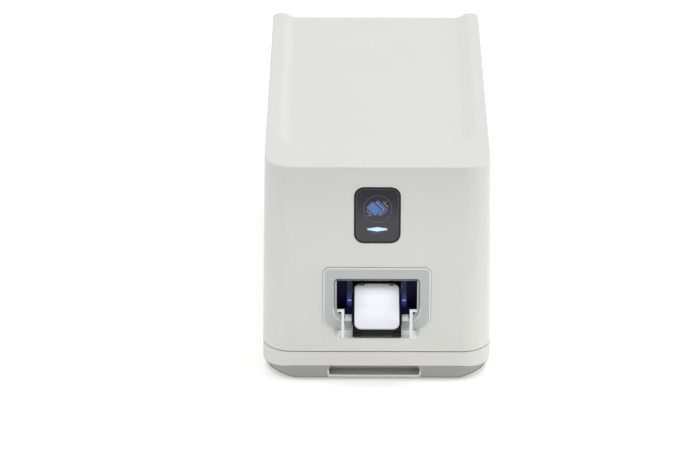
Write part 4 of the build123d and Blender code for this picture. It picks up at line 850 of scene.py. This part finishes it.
# Spring contacts in the network socket: each a bent strip through four stations
CONTACTS, CONTACT_PITCH, CONTACT_MID = 8, 1.02, 6.0
CONTACT_HALF, CONTACT_THICK = 0.22, 0.25
CONTACT_LINE = ((-10.6, 44.6), (-8.6, 41.0), (-3.0, 44.4), (-2.6, 45.6))
SECTION_RING = ((0, 1), (1, 3), (3, 2), (2, 0))
vertices, faces = [], []
for index in range(CONTACTS):
    first = len(vertices)
    x = CONTACT_MID + (index - (CONTACTS - 1) / 2) * CONTACT_PITCH
    for out, height in CONTACT_LINE:
        for dx in (-CONTACT_HALF, CONTACT_HALF):
            for dv in (0.0, CONTACT_THICK):
                vertices.append(on_rear(x + dx, height + dv, out))
    last = len(vertices) - 4
    for a in range(first, last, 4):
        b = a + 4
        faces += [(a + p, a + q, b + q, b + p) for p, q in SECTION_RING]
    faces.append((first, first + 2, first + 3, first + 1))
    faces.append((last, last + 1, last + 3, last + 2))
piece("network_contacts", vertices, faces, bronze, "housing")


# Floor and backdrop
def seen_directly(tree):
    """1 where the camera, a gloss or a glass looks straight at a surface, else 0."""
    rays = tree.nodes.new("ShaderNodeLightPath")
    result = rays.outputs["Is Camera Ray"]
    for kind in ("Is Glossy Ray", "Is Transmission Ray"):
        result = maths(tree, "MAXIMUM", result, rays.outputs[kind])
    return result


FLOOR_GLOW = 0.42
FLOOR_REACH = 6.0


def make_floor():
    """A pale floor that the camera and the gloss see as white."""
    surface = Surface("floor_pale", 0.9)
    surface.mottle(linear((238, 238, 238)), 0.004, 3)
    surface.grain(700, 0.01)
    white = maths(surface.tree, "MULTIPLY", seen_directly(surface.tree), FLOOR_GLOW)
    surface.set("Emission Color", WHITE)
    surface.link(white, surface.shader.inputs["Emission Strength"])
    return surface


floor_mesh = bpy.data.meshes.new("floor")
floor_mesh.from_pydata(
    [(sx * FLOOR_REACH, sy * FLOOR_REACH, 0) for sx, sy in ((-1, -1), (1, -1), (1, 1), (-1, 1))],
    [], [(0, 1, 2, 3)],
)
floor_mesh.materials.append(make_floor().material)
floor = bpy.data.objects.new("floor", floor_mesh)
scene.collection.objects.link(floor)

# Light: a dim sky that is seen as white, and soft lamps
SKY_STRENGTH, SEEN_STRENGTH = 0.35, 1.0
world = bpy.data.worlds.new("studio")
scene.world = world
world.use_nodes = True
tree = world.node_tree
sky = tree.nodes["Background"]
seen = tree.nodes.new("ShaderNodeBackground")
for background, strength in ((sky, SKY_STRENGTH), (seen, SEEN_STRENGTH)):
    background.inputs["Color"].default_value = WHITE
    background.inputs["Strength"].default_value = strength
blend = tree.nodes.new("ShaderNodeMixShader")
tree.links.new(seen_directly(tree), blend.inputs["Fac"])
tree.links.new(sky.outputs["Background"], blend.inputs[1])
tree.links.new(seen.outputs["Background"], blend.inputs[2])
tree.links.new(blend.outputs["Shader"], tree.nodes["World Output"].inputs["Surface"])


def lamp(name, place, aim, size, power):
    """A rectangular lamp at a place, turned to its aim, in metres and watts."""
    data = bpy.data.lights.new(name, "AREA")
    data.shape = "RECTANGLE"
    data.size, data.size_y = size
    data.energy = power
    thing = bpy.data.objects.new(name, data)
    thing.location = place
    thing.rotation_euler = (Vector(aim) - Vector(place)).to_track_quat("-Z", "Y").to_euler()
    scene.collection.objects.link(thing)


BODY_MIDDLE = (0.0, 0.0, 0.08)
lamp("overhead", (0.15, -0.02, 1.55), (0.0, 0.0, 0.1), (1.0, 1.0), 10.0)
lamp("front_soft", (0.5, -2.4, 0.7), BODY_MIDDLE, (1.4, 1.0), 1.0)
lamp("right_soft", (2.35, -0.35, 0.9), BODY_MIDDLE, (1.0, 1.4), 20.0)
lamp("left_soft", (-2.35, -0.35, 0.9), BODY_MIDDLE, (1.0, 1.4), 13.5)
lamp("low_card", (0.0, -0.34, 0.02), (0.0, -0.13, 0.02), (0.44, 0.03), 0.115)
lamp("mouth_light", (0.0, -0.1215, 0.0755), (0.0, -0.1195, 0.05), (0.034, 0.010), 0.0045)

# Camera, fitted to the photograph: focal length in its pixels, place in millimetres
PHOTO_WIDE, FOCAL_PIXELS = 680, 3247.75
SENSOR_WIDE = 36.0
PITCH, YAW = radians(25.818), radians(-0.312)
CAMERA_PLACE = (-14.19, -2067.4, 1055.9)
CAMERA_REACH = 50.0
camera_data = bpy.data.cameras.new("camera")
camera_data.sensor_width = SENSOR_WIDE
camera_data.lens = FOCAL_PIXELS / PHOTO_WIDE * SENSOR_WIDE
camera_data.clip_end = CAMERA_REACH
camera = bpy.data.objects.new("camera", camera_data)
camera.location = Vector(CAMERA_PLACE) * MM
camera.rotation_euler = (pi / 2 - PITCH, 0.0, -YAW)
scene.collection.objects.link(camera)
scene.camera = camera
scene.view_settings.view_transform = "Standard"
